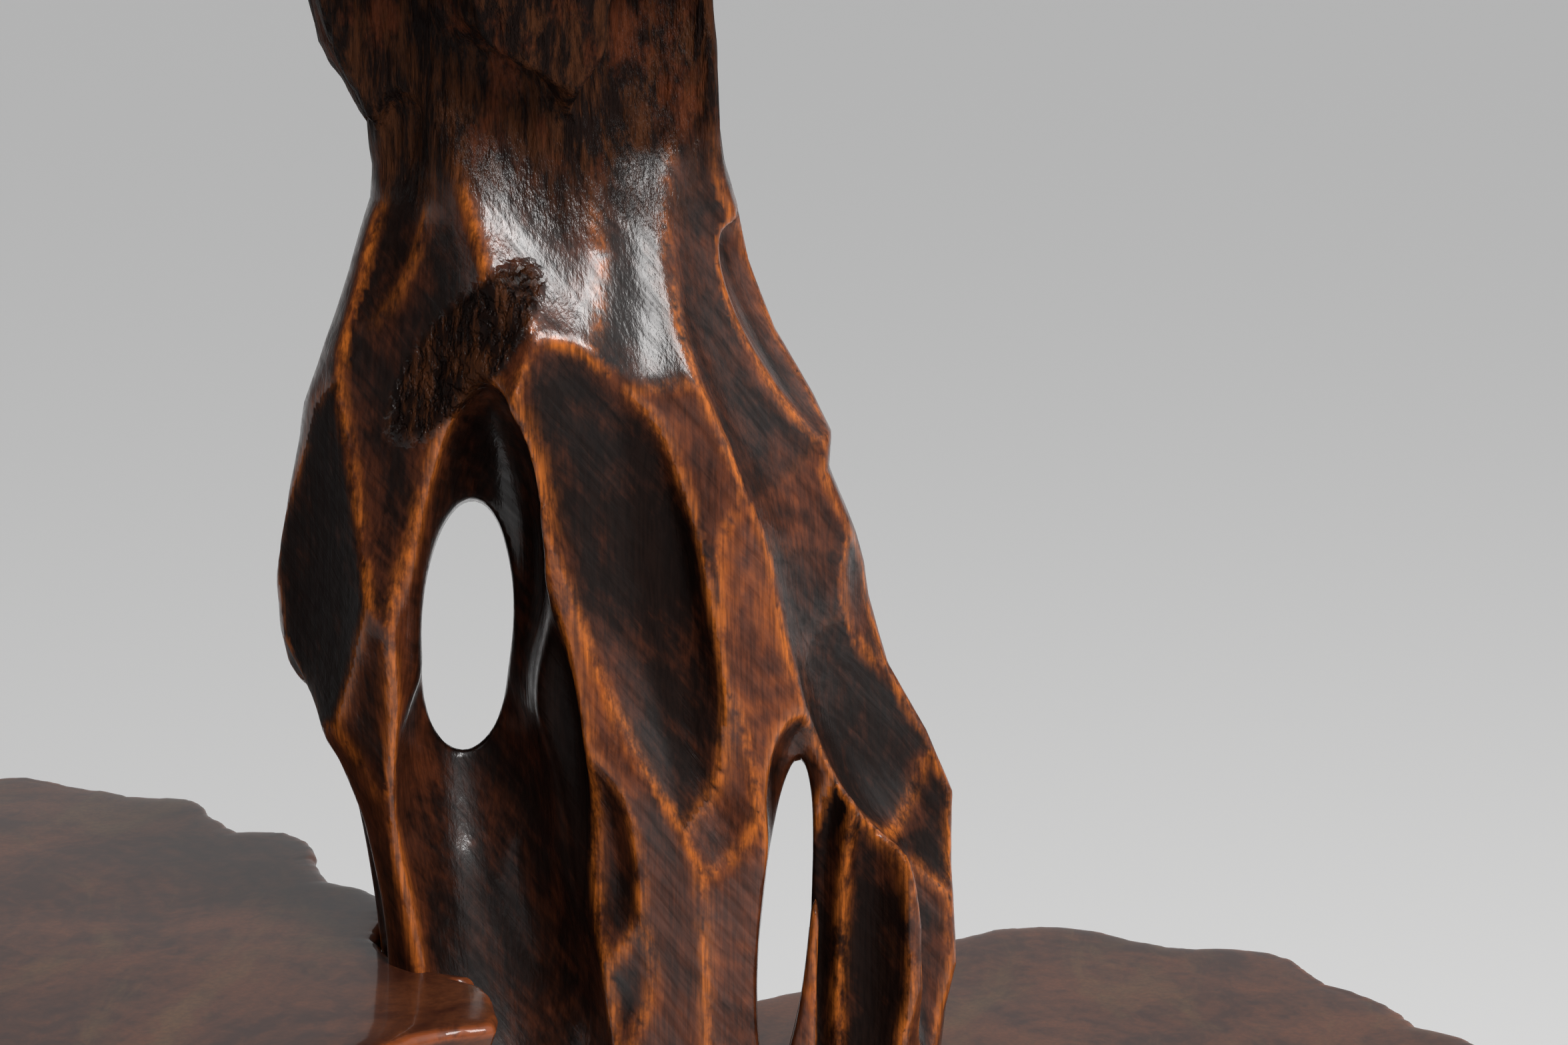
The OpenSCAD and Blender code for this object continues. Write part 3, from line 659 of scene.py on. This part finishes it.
def build_trunk():
    """The carved trunk, with the masks that its material reads."""
    xs = grid_lines(0, TRUNK_LOW, TRUNK_HIGH, FINE_STEP)
    ys = grid_lines(1, TRUNK_LOW, TRUNK_HIGH, FINE_STEP)
    zs = spaced(FOOT_Z - MARGIN, FINE_FROM, FINE_TO, CROWN_Z + MARGIN, ROUGH_STEP, FINE_STEP)
    values = grid_trunk_field(xs, ys, zs)
    points, faces = surface_net(values, xs, ys, zs)
    points, normals = settle(trunk_field, points)
    total, root, gap, tone = trunk_field(*points.T, masks=True)
    ridge, halo = ridge_masks(points, gap)
    top, lens = natural_mask(points)
    skin = np.clip(top + lens, 0, 1)
    # strands of the natural skin, pits in the lens, and the faint ripple a gouge leaves
    strands = layered_noise(points, (9, 9, 70), 41, 3)
    clefts = np.abs(layered_noise(points, (13, 13, 90), 44, 2))
    pits = np.clip(layered_noise(points, (6, 6, 6), 47, 2) - 0.25, 0, 1)
    ripple = layered_noise(points, (22, 22, 30), 51, 2)
    lift = top * (1.5 * strands - 1.6 * np.exp(-clefts * 9)) - lens * 2.2 * pits + (1 - skin) * 0.35 * ripple
    z = points[:, 2]
    flat_ends = smooth_step(0, FLAT_END, z - FOOT_Z) * smooth_step(0, FLAT_END, CROWN_Z - z)
    points = points + normals * (lift * flat_ends)[:, None]
    ridge = ridge * (1 - 0.7 * skin)
    deep = np.clip(-root / DARKEST_DEPTH, 0, 1)
    return make_mesh("trunk_carved", points, faces, {
        "ridge": ridge, "halo": halo * (1 - skin), "tone": tone, "deep": deep, "skin": top, "lens": lens,
    })


# ------------------------------------------------------------------ the two limbs
PAD_RADIUS = 58.0
PAD_THICKNESS = 16.0
LIMB_ROOT_RADIUS = 36.0
LIMB_STATIONS = 9
# a limb's radius, and what it gains at the trunk and at the pad
LIMB_RADIUS = 27
LIMB_TRUNK_SWELL = 8
LIMB_PAD_SWELL = 9
LIMB_CUTS = 18
LIMB_CUT_HALF_WIDTH = 26
LIMB_CUT_HALF_HEIGHT = 52
LIMB_CUT_DEPTH = 7
# y of each limb's pad and of its seat on the trunk
LIMB_ENDS = {"left_limb": (-20.0, -25.0), "right_limb": (45.0, -10.0)}


def limb_path(node):
    """Centre line of a limb, a quarter turn out of the trunk and up to its pad."""
    low, high = node_box(node)
    pad_top = high[2]
    leftward = high[0] < AXIS[0]
    pad_x = (low[0] if leftward else high[0]) + (PAD_RADIUS if leftward else -PAD_RADIUS)
    seat_x = high[0] if leftward else low[0]
    seat_z = low[2] + LIMB_ROOT_RADIUS
    pad_y, seat_y = LIMB_ENDS[node]
    path = []
    for t in np.linspace(0, 1, LIMB_STATIONS):
        a = t * math.pi / 2
        x = seat_x + (pad_x - seat_x) * math.sin(a)
        z = seat_z + (pad_top - seat_z) * (1 - math.cos(a))
        y = seat_y + (pad_y - seat_y) * t
        radius = LIMB_RADIUS + LIMB_TRUNK_SWELL * (1 - t) ** 3 + LIMB_PAD_SWELL * t ** 6
        path.append((x, y, z, radius))
    return np.array(path), np.array([pad_x, pad_y, pad_top])


def build_limb(node, seed):
    """A gouged limb with its pad, along the limb's path."""
    path, pad = limb_path(node)
    rng = np.random.default_rng(seed)
    cuts = []
    for i in range(LIMB_CUTS):
        t = (i + 0.5) / LIMB_CUTS * (len(path) - 1)
        k = min(int(t), len(path) - 2)
        here = path[k] + (path[k + 1] - path[k]) * (t - k)
        along = path[k + 1][:3] - path[k][:3]
        along = along / np.linalg.norm(along)
        out = np.cross(along, rng.normal(size=3))
        out = out / np.linalg.norm(out)
        tone = rng.uniform(0.1, 0.7)
        lean = rng.uniform(-40, 40)
        size = (LIMB_CUT_HALF_WIDTH, LIMB_CUT_HALF_HEIGHT)
        cuts.append(Hollow(here[:3] + out * here[3], out, *size, lean, LIMB_CUT_DEPTH, 0.6, tone))

    def body(x, y, z):
        total = None
        for a, b in zip(path[:-1], path[1:]):
            line = b[:3] - a[:3]
            t = ((x - a[0]) * line[0] + (y - a[1]) * line[1] + (z - a[2]) * line[2]) / (line @ line)
            t = np.clip(t, 0, 1)
            off_x, off_y, off_z = (p - a[i] - t * line[i] for i, p in enumerate((x, y, z)))
            d = np.sqrt(off_x ** 2 + off_y ** 2 + off_z ** 2) - (a[3] + t * (b[3] - a[3]))
            total = d if total is None else smooth_min(total, d, 4)
        side = np.sqrt((x - pad[0]) ** 2 + (y - pad[1]) ** 2) - (PAD_RADIUS - 1.5)
        middle = np.abs(z - pad[2] + PAD_THICKNESS / 2) - (PAD_THICKNESS / 2 - 0.5)
        disc = smooth_max(side, middle, 4)
        return smooth_min(total, disc, 12)

    def field(x, y, z, masks=False):
        root = body(x, y, z) + 0.8 * value_noise(x / 14, y / 14, z / 14, seed)
        total, first, second = root, root, root * 0 - 1e3
        tone = root * 0 + 0.4
        for cut in cuts:
            v = cut.field(x, y, z)
            total = smooth_max(total, v, RIDGE_ROUNDING)
            if masks:
                tone = np.where(v > first, cut.tone, tone)
                second = np.maximum(second, np.minimum(first, v))
                first = np.maximum(first, v)
        total = np.maximum(total, z - pad[2] + 0.3)
        return (total, root, first - second, tone) if masks else total

    low, high = node_box(node)
    step = 3.0
    xs, ys, zs = (np.arange(low[d] - MARGIN, high[d] + MARGIN + step, step) for d in range(3))
    values = field(xs[:, None, None], ys[None, :, None], zs[None, None, :])
    points, faces = surface_net(values, xs, ys, zs)
    points, _ = settle(field, points)
    _, root, gap, tone = field(*points.T, masks=True)
    ridge = np.exp(-(np.clip(gap, 0, None) / 1.2) ** 2)
    flat = np.zeros(len(points))
    return make_mesh(node + "_carved", points, faces, {
        "ridge": ridge, "halo": 0.5 * np.exp(-np.clip(gap, 0, None) / 5), "tone": tone,
        "deep": np.clip(-root / DARKEST_DEPTH, 0, 1), "skin": flat, "lens": flat,
    })


# ------------------------------------------------------------------ live-edge slabs
SLAB_TURNS = 840
# shares of the radius across the flat faces, and the rim's profile: inset and drop in millimetres
FLAT_SHARES = (0.04, 0.14, 0.26, 0.38, 0.50, 0.61, 0.71, 0.80, 0.88, 0.94)
TOP_RIM = ((12, 0), (8, 0.1), (5, 0.3), (3, 0.8), (1.6, 1.5), (0.7, 2.5), (0.1, 4.0))
SIDE_DROPS = (0.20, 0.30, 0.42, 0.55, 0.68, 0.80, 0.90, 0.97)


# middle of each slab whose outline isn't about the middle of its box
SLAB_CENTRES = {"left_tray": (-190.0, -20.0), "right_tray": (250.0, 70.0)}


def slab_centre(node):
    low, high = node_box(node)
    return SLAB_CENTRES.get(node, tuple((low[:2] + high[:2]) / 2))


# holes and corners of a top face that are nearer its centre than this aren't its outline
SLAB_CORE = 60.0
SLAB_CORES = {"base_slab": 190.0}


def slab_outline(node, centre, bearings):
    """Radius of a CAD slab's top face at each bearing about its centre."""
    low, high = node_box(node)
    co = np.array([v.co for v in NODES[node].data.vertices]) / MM
    top = co[co[:, 2] > high[2] - 0.5][:, :2] - centre
    radius = np.hypot(*top.T)
    wide = radius > SLAB_CORES.get(node, SLAB_CORE)
    angle = np.arctan2(top[wide, 1], top[wide, 0])
    order = np.argsort(angle)
    return np.interp(bearings, angle[order], radius[wide][order], period=2 * math.pi)


def build_slab(node, seed, hole=0.0):
    """A slab with the CAD outline, a worn top edge and an undercut bark side."""
    low, high = node_box(node)
    thick = high[2] - low[2]
    centre = np.array(slab_centre(node))
    bearings = np.linspace(-math.pi, math.pi, SLAB_TURNS, endpoint=False)
    outline = slab_outline(node, centre, bearings)
    around = np.stack([np.cos(bearings), np.sin(bearings)], 1)
    edge = np.column_stack([centre + around * outline[:, None], np.zeros(SLAB_TURNS)])
    nicks = np.clip(layered_noise(edge, (9, 9, 9), seed, 3), -0.4, 1.2) + 0.4
    outline = outline - 1.3 * nicks
    rings = []
    rims = []

    def ring(inset, drop, rim=0.0):
        r = np.maximum(outline - inset, hole if hole else 0.5)
        z = np.full(SLAB_TURNS, high[2] - drop) if np.isscalar(drop) else high[2] - drop
        rings.append(np.column_stack([centre + around * r[:, None], z]))
        rims.append(np.full(SLAB_TURNS, rim))

    def flat(share, drop):
        inner = hole if hole else 0.0
        r = inner + (outline - TOP_RIM[0][0] - inner) * share
        rings.append(np.column_stack([centre + around * r[:, None], np.full(SLAB_TURNS, high[2] - drop)]))
        rims.append(np.zeros(SLAB_TURNS))

    shares = ((0.0,) if hole else ()) + FLAT_SHARES
    for share in shares:
        flat(share, 0.4)
    for inset, drop in TOP_RIM:
        ring(inset, drop + 0.4, smooth_step(6, 1, inset))
    for share in SIDE_DROPS:
        here = edge + np.array([0, 0, share * thick])
        bark = layered_noise(here, (16, 16, 10), seed + 5, 3)
        undercut = 9.0 * share ** 1.6 + (1.2 + 3.2 * share) * (bark + 0.6) * smooth_step(0.1, 0.5, share)
        ring(np.maximum(undercut, 0.0), share * thick, 0.0)
    for share in reversed(shares):
        flat(share, thick - 0.1)
    points = np.concatenate(rings)
    rim = np.concatenate(rims)
    # the planed faces are never quite flat
    wave = 0.35 * (value_noise(points[:, 0] / 55, points[:, 1] / 55, 0.0 * points[:, 0], seed + 9) - 1)
    points[:, 2] += wave * (points[:, 2] > high[2] - 1)
    n = SLAB_TURNS
    faces = []
    for k in range(len(rings) - 1):
        for i in range(n):
            j = (i + 1) % n
            faces.append((k * n + i, (k + 1) * n + i, (k + 1) * n + j, k * n + j))
    last = (len(rings) - 1) * n
    if hole:
        faces += [(last + i, i, (i + 1) % n, last + (i + 1) % n) for i in range(n)]
    else:
        faces.append(tuple(range(n)))
        faces.append(tuple(last + i for i in reversed(range(n))))
    return make_mesh(node + "_live_edge", points, faces, {"rim": rim})


# ------------------------------------------------------------------ camera, light and stage
def metres(*v):
    return tuple(c * MM for c in v)


CAMERA_TARGET = (AXIS[0] + 98, AXIS[1], 700.0)
CAMERA_DISTANCE = 1190.0
CAMERA_PITCH = 12.0
SENSOR_WIDTH = 36.0
LENS = 72.65


def add_camera():
    a = math.radians(CAMERA_PITCH)
    data = bpy.data.cameras.new("camera")
    data.sensor_width = SENSOR_WIDTH
    data.lens = LENS
    data.clip_end = 200
    cam = bpy.data.objects.new("camera", data)
    x, y, z = CAMERA_TARGET
    cam.location = metres(x, y - CAMERA_DISTANCE * math.cos(a), z + CAMERA_DISTANCE * math.sin(a))
    cam.rotation_euler = (math.pi / 2 - a, 0, 0)
    bpy.context.scene.collection.objects.link(cam)
    bpy.context.scene.camera = cam


def add_softbox(name, place, aim, width, height, power, colour):
    data = bpy.data.lights.new(name, "AREA")
    data.shape = "RECTANGLE"
    data.size = width
    data.size_y = height
    data.energy = power
    data.color = colour
    lamp = bpy.data.objects.new(name, data)
    lamp.location = place
    lamp.rotation_euler = (aim - place).to_track_quat("-Z", "Y").to_euler()
    bpy.context.scene.collection.objects.link(lamp)


def simple_material(name, colour, roughness):
    mat = bpy.data.materials.new(name)
    mat.use_nodes = True
    shader = mat.node_tree.nodes["Principled BSDF"]
    shader.inputs["Base Color"].default_value = (*colour, 1)
    shader.inputs["Roughness"].default_value = roughness
    return mat


class Graph:
    """A few short words for building a material's node tree."""

    def __init__(self, name):
        self.material = bpy.data.materials.new(name)
        self.material.use_nodes = True
        self.nodes = self.material.node_tree.nodes
        self.links = self.material.node_tree.links
        self.shader = self.nodes["Principled BSDF"]
        self.coords = self.nodes.new("ShaderNodeTexCoord").outputs["Object"]

    def put(self, socket, value):
        """Sets a socket to a number or a colour, or links it to an output."""
        if isinstance(value, bpy.types.NodeSocket):
            self.links.new(value, socket)
        elif isinstance(value, tuple) and len(value) == 3 and socket.type == "RGBA":
            socket.default_value = (*value, 1)
        else:
            socket.default_value = value

    def maths(self, operation, a, b=0.0, clamp=False):
        node = self.nodes.new("ShaderNodeMath")
        node.operation = operation
        node.use_clamp = clamp
        self.put(node.inputs[0], a)
        self.put(node.inputs[1], b)
        return node.outputs[0]

    def vector(self, operation, a, b):
        node = self.nodes.new("ShaderNodeVectorMath")
        node.operation = operation
        self.put(node.inputs[0], a)
        self.put(node.inputs[1], b)
        return node.outputs["Value"] if operation == "LENGTH" else node.outputs[0]

    def stretched(self, size):
        """Object coordinates with one unit for each wavelength in millimetres along each axis."""
        return self.vector("MULTIPLY", self.coords, tuple(1 / (v * MM) for v in size))

    def noise(self, size, detail=3.0, roughness=0.5, distortion=0.0):
        node = self.nodes.new("ShaderNodeTexNoise")
        self.put(node.inputs["Vector"], self.stretched(size))
        node.inputs["Scale"].default_value = 1.0
        node.inputs["Detail"].default_value = detail
        node.inputs["Roughness"].default_value = roughness
        node.inputs["Distortion"].default_value = distortion
        return node.outputs["Fac"]

    def slanted(self, size, lean, detail=3.0, roughness=0.5, distortion=0.0):
        """Noise whose streaks lean over sideways by an angle in degrees."""
        node = self.nodes.new("ShaderNodeVectorRotate")
        node.rotation_type = "Y_AXIS"
        self.put(node.inputs["Vector"], self.coords)
        node.inputs["Angle"].default_value = math.radians(lean)
        upright = self.coords
        self.coords = node.outputs["Vector"]
        streaks = self.noise(size, detail, roughness, distortion)
        self.coords = upright
        return streaks

    def between(self, value, low, high, to_low=0.0, to_high=1.0):
        node = self.nodes.new("ShaderNodeMapRange")
        node.interpolation_type = "SMOOTHSTEP"
        for key, v in (("From Min", low), ("From Max", high), ("To Min", to_low), ("To Max", to_high)):
            node.inputs[key].default_value = v
        self.put(node.inputs["Value"], value)
        return node.outputs["Result"]

    def attribute(self, name):
        node = self.nodes.new("ShaderNodeAttribute")
        node.attribute_name = name
        return node.outputs["Fac"]

    def mix(self, share, a, b, mode="MIX"):
        node = self.nodes.new("ShaderNodeMix")
        node.data_type = "RGBA"
        node.blend_type = mode
        self.put(node.inputs["Factor"], share)
        self.put(node.inputs[6], a)
        self.put(node.inputs[7], b)
        return node.outputs[2]

    def bump(self, height, distance, strength=1.0, under=None):
        node = self.nodes.new("ShaderNodeBump")
        self.put(node.inputs["Strength"], strength)
        node.inputs["Distance"].default_value = distance * MM
        self.put(node.inputs["Height"], height)
        if under is not None:
            self.put(node.inputs["Normal"], under)
        return node.outputs["Normal"]

    def varnish(self, colour, roughness, normal, coat_roughness, coat, specular, coat_ior):
        s = self.shader.inputs
        self.put(s["Base Color"], colour)
        self.put(s["Roughness"], roughness)
        self.put(s["Normal"], normal)
        self.put(s["Coat Normal"], normal)
        self.put(s["Coat Weight"], coat)
        s["Coat Roughness"].default_value = coat_roughness
        s["Coat IOR"].default_value = coat_ior
        self.put(s["Specular IOR Level"], specular)
        return self.material


STAIN = (0.0075, 0.0034, 0.0024)
BARK_BROWN = (0.048, 0.016, 0.006)
REDDISH = (0.092, 0.023, 0.008)
WARM = (0.25, 0.058, 0.008)
WORN = (0.50, 0.130, 0.015)


def growth_rings(g, heart, squash, pitch, wander):
    """A wave from -1 to 1 with one crest for each growth ring round a heart line."""
    away = g.vector("SUBTRACT", g.coords, metres(*heart))
    radius = g.vector("LENGTH", g.vector("MULTIPLY", away, squash), (0, 0, 0))
    turns = g.maths("MULTIPLY", radius, 2 * math.pi / (pitch * MM))
    return g.maths("SINE", g.maths("ADD", turns, g.maths("MULTIPLY", wander, 14.0)))


def root_wood():
    """Dark stained root wood under gloss varnish, worn to orange on the ridges between the gouge cuts."""
    g = Graph("root_wood")
    ridge, halo, tone, deep = (g.attribute(key) for key in ("ridge", "halo", "tone", "deep"))
    skin, lens = g.attribute("skin"), g.attribute("lens")
    natural = g.maths("MAXIMUM", skin, lens)
    blotch = g.noise((22, 22, 40), 4, 0.58, 0.8)
    figure = g.noise((9, 9, 26), 4, 0.62, 1.4)
    fibre = g.noise((1.4, 1.4, 22), 3, 0.6)
    speck = g.noise((2.4, 2.4, 5), 2, 0.5)
    wander = g.noise((50, 50, 80), 2, 0.5)
    rings = growth_rings(g, (132, -150, 676), (1.0, 0.30, 0.66), 4.2, wander)
    streaks = g.slanted((2.6, 8.0, 34), 38, 4, 0.65, 0.5)
    bands = g.slanted((9, 30, 60), 52, 3, 0.55, 0.8)
    shade = g.maths("MULTIPLY", blotch, 0.90)
    shade = g.maths("ADD", shade, g.maths("MULTIPLY", figure, 0.45))
    shade = g.maths("ADD", shade, g.maths("MULTIPLY", streaks, 0.50))
    shade = g.maths("ADD", shade, g.maths("MULTIPLY", bands, 0.50))
    # the tone brings in each gouge's stain and its painted light and shade
    shade = g.maths("ADD", shade, g.maths("MULTIPLY", tone, 0.72))
    shade = g.maths("ADD", shade, g.maths("MULTIPLY", halo, 0.34))
    shade = g.maths("SUBTRACT", shade, g.maths("MULTIPLY", deep, 0.30))
    shade = g.maths("ADD", shade, g.maths("MULTIPLY", rings, g.between(tone, 0.45, 0.9, 0.02, 0.10)))
    colour = g.mix(g.between(shade, 1.22, 1.92), STAIN, REDDISH)
    colour = g.mix(g.between(shade, 1.68, 2.35), colour, WARM)
    worn = g.maths("MULTIPLY", ridge, g.between(g.noise((11, 11, 17), 4, 0.7), 0.36, 0.62, 0.04, 1.0))
    worn = g.maths("MULTIPLY", worn, g.between(fibre, 0.3, 0.65, 0.45, 0.80))
    colour = g.mix(worn, colour, WORN)
    rough_colour = g.mix(g.between(g.noise((5, 5, 30), 5, 0.7), 0.44, 0.62), STAIN, BARK_BROWN)
    patch = g.between(g.noise((16, 16, 34), 5, 0.65), 0.52, 0.68, 0.0, 0.75)
    rough_colour = g.mix(g.maths("MULTIPLY", patch, skin), rough_colour, REDDISH)
    colour = g.mix(natural, colour, rough_colour)
    lines = g.between(fibre, 0.35, 0.62, 0.66, 1.12)
    colour = g.mix(1.0, colour, lines, "MULTIPLY")
    # the darkest tones, part dark stain and part painted shade, and natural skin are duller than worn wood
    dull = g.maths("MAXIMUM", natural, g.between(tone, 0.0, 0.24, 1.0, 0.0))
    gloss = g.maths("ADD", g.between(speck, 0.3, 0.7, 0.30, 0.42), g.maths("MULTIPLY", dull, 0.15))
    coat = g.maths("MULTIPLY", g.between(dull, 0.0, 1.0, 0.80, 0.06), g.between(streaks, 0.3, 0.65, 0.5, 1.2))
    specular = g.between(dull, 0.0, 1.0, 0.12, 0.04)
    normal = g.bump(fibre, 0.25, 0.5)
    normal = g.bump(g.noise((4, 4, 9), 3), 0.5, 0.35, normal)
    normal = g.bump(streaks, 0.6, g.between(dull, 0.2, 0.8, 0.15, 0.5), normal)
    coarse = g.maths("MULTIPLY", g.noise((3.5, 3.5, 30), 4, 0.7), skin)
    normal = g.bump(coarse, 3.0, 0.9, normal)
    pits = g.maths("MULTIPLY", g.between(g.noise((3.4, 3.4, 4.5), 2), 0.36, 0.56), lens)
    normal = g.bump(pits, 1.6, 0.8, normal)
    return g.varnish(colour, gloss, normal, 0.15, coat, specular, 1.42)


OLIVE = (0.125, 0.066, 0.022)


def slab_wood(name, centre):
    """Dark red-brown slab under a hard gloss varnish, with growth rings round its own heart."""
    g = Graph(name)
    rim = g.attribute("rim")
    blotch = g.noise((70, 70, 70), 4, 0.6, 0.8)
    mottle = g.noise((14, 14, 14), 4, 0.65, 1.0)
    fine = g.noise((2.2, 2.2, 2.2), 3, 0.6)
    wander = g.noise((80, 80, 80), 3, 0.55)
    rings = growth_rings(g, centre, (1.0, 0.8, 0.0), 9.0, wander)
    shade = g.maths("ADD", blotch, g.maths("MULTIPLY", rings, 0.02))
    shade = g.maths("ADD", shade, g.maths("MULTIPLY", mottle, 0.55))
    colour = g.mix(g.between(shade, 0.58, 0.98), (0.034, 0.0085, 0.0042), (0.115, 0.034, 0.012))
    cloud = g.between(g.noise((45, 120, 45), 5, 0.65, 1.2), 0.50, 0.72)
    colour = g.mix(g.maths("MULTIPLY", cloud, 0.55), colour, OLIVE)
    colour = g.mix(g.between(fine, 0.3, 0.7, 0.0, 0.35), colour, (0.022, 0.006, 0.003))
    worn = g.maths("MULTIPLY", rim, g.between(mottle, 0.35, 0.65, 0.10, 0.80))
    colour = g.mix(worn, colour, (0.26, 0.060, 0.014))
    normal = g.bump(g.noise((24, 24, 24), 2), 0.4, 0.25)
    return g.varnish(colour, 0.45, normal, 0.08, 0.48, 0.15, 1.5)


def metal(name, colour, roughness, brushed):
    """Steel or brass with fine brushing."""
    g = Graph(name)
    lines = g.noise(brushed, 3, 0.6)
    s = g.shader.inputs
    s["Base Color"].default_value = (*colour, 1)
    s["Metallic"].default_value = 1.0
    g.put(s["Roughness"], g.between(lines, 0.3, 0.7, roughness * 0.8, roughness * 1.25))
    g.put(s["Normal"], g.bump(lines, 0.05, 0.3))
    return g.material


def matt(name, dark, light, size):
    """A dull material mottled between two colours, such as rubber or raw wood."""
    g = Graph(name)
    grain = g.noise(size, 4, 0.6)
    g.put(g.shader.inputs["Base Color"], g.mix(grain, dark, light))
    g.shader.inputs["Roughness"].default_value = 0.75
    g.put(g.shader.inputs["Normal"], g.bump(grain, 0.1, 0.3))
    return g.material


FLOOR_HALF = 60.0


def add_floor():
    half = FLOOR_HALF
    mesh = bpy.data.meshes.new("floor")
    corners = [(-half, -half, 0), (half, -half, 0), (half, half, 0), (-half, half, 0)]
    mesh.from_pydata(corners, [], [(0, 1, 2, 3)])
    floor = bpy.data.objects.new("floor", mesh)
    bpy.context.scene.collection.objects.link(floor)
    mesh.materials.append(simple_material("floor_paint", (0.80, 0.80, 0.80), 0.9))


ROOM_LIGHT = 0.03
WALL_LIGHT = 0.50
SKY_LIGHT = 0.98
SKY_DIRECTION = (0.52, -0.22, 0.82)
# each glow: the direction it comes from, where it starts and is full as a cosine, and its strength
GLOWS = (((0, 1, 0), 0.70, 0.93, WALL_LIGHT), (SKY_DIRECTION, 0.3, 0.9, SKY_LIGHT))


def set_world():
    """A dim room with a faint wall behind, and a broad soft glow from above on the right."""
    world = bpy.data.worlds.new("studio")
    bpy.context.scene.world = world
    world.use_nodes = True
    nodes, links = world.node_tree.nodes, world.node_tree.links
    background = nodes["Background"]
    coords = nodes.new("ShaderNodeTexCoord")
    total = None
    for towards, low, high, strength in GLOWS:
        dot = nodes.new("ShaderNodeVectorMath")
        dot.operation = "DOT_PRODUCT"
        links.new(coords.outputs["Generated"], dot.inputs[0])
        dot.inputs[1].default_value = towards
        ramp = nodes.new("ShaderNodeMapRange")
        ramp.interpolation_type = "SMOOTHSTEP"
        for key, v in (("From Min", low), ("From Max", high), ("To Min", ROOM_LIGHT), ("To Max", strength)):
            ramp.inputs[key].default_value = v
        links.new(dot.outputs["Value"], ramp.inputs["Value"])
        if total is None:
            total = ramp.outputs["Result"]
        else:
            add = nodes.new("ShaderNodeMath")
            links.new(total, add.inputs[0])
            links.new(ramp.outputs["Result"], add.inputs[1])
            total = add.outputs[0]
    background.inputs["Color"].default_value = (1.0, 1.0, 1.0, 1)
    links.new(total, background.inputs["Strength"])


# place from the camera's target and size in metres, power in watts
WINDOW_OFFSET = (1.15, -1.75, 1.75)
WINDOW_SIZE = (0.85, 1.15)
WINDOW_POWER = 70
WINDOW_COLOUR = (1.0, 0.99, 0.98)


def add_lights():
    aim = Vector(metres(*CAMERA_TARGET))
    add_softbox("window", aim + Vector(WINDOW_OFFSET), aim, *WINDOW_SIZE, WINDOW_POWER, WINDOW_COLOUR)


def place(piece, body, node, slot, material):
    """Gives a piece its material, hangs it under its body, and hides the CAD node it stands for."""
    piece.data.materials.append(material)
    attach(piece, body)
    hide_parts(node)


# ------------------------------------------------------------------ build
add_camera()
add_floor()
set_world()
add_lights()
bpy.context.scene.view_settings.view_transform = "Standard"

root_material = root_wood()


place(build_trunk(), "stand", "trunk", "root_wood", root_material)
place(build_limb("left_limb", 11), "stand", "left_limb", "root_wood", root_material)
place(build_limb("right_limb", 12), "stand", "right_limb", "root_wood", root_material)
SLABS = (
    ("left_tray", "stand", 61, 0.0),
    ("right_tray", "stand", 62, 0.0),
    ("base_slab", "stand", 63, 0.0),
    ("top_slab", "turntable", 64, 24.3),
)
for name, body, seed, hole in SLABS:
    material = slab_wood(name + "_wood", (*slab_centre(name), 0))
    place(build_slab(name, seed, hole), body, name, "slab_wood", material)


CAD_FINISHES = {
    "steel": metal("steel", (0.55, 0.56, 0.58), 0.32, (0.6, 14, 0.6)),
    "polished_steel": metal("polished_steel", (0.80, 0.80, 0.82), 0.10, (3, 3, 3)),
    "brass": metal("brass", (0.72, 0.52, 0.20), 0.28, (0.8, 8, 0.8)),
    "rubber": matt("rubber", (0.018, 0.018, 0.018), (0.032, 0.031, 0.030), (2, 2, 2)),
    "dowel_wood": matt("dowel_wood", (0.42, 0.27, 0.14), (0.58, 0.41, 0.24), (12, 1.2, 1.2)),
    "slab_wood": slab_wood("plug_wood", (*AXIS[:2], 0)),
}
for part in frame["record"]["subparts"]:
    node = NODES[part["node"]]
    finish = CAD_FINISHES.get(part["material_slot"])
    if finish and not node.hide_render:
        node.data.materials.clear()
        node.data.materials.append(finish)
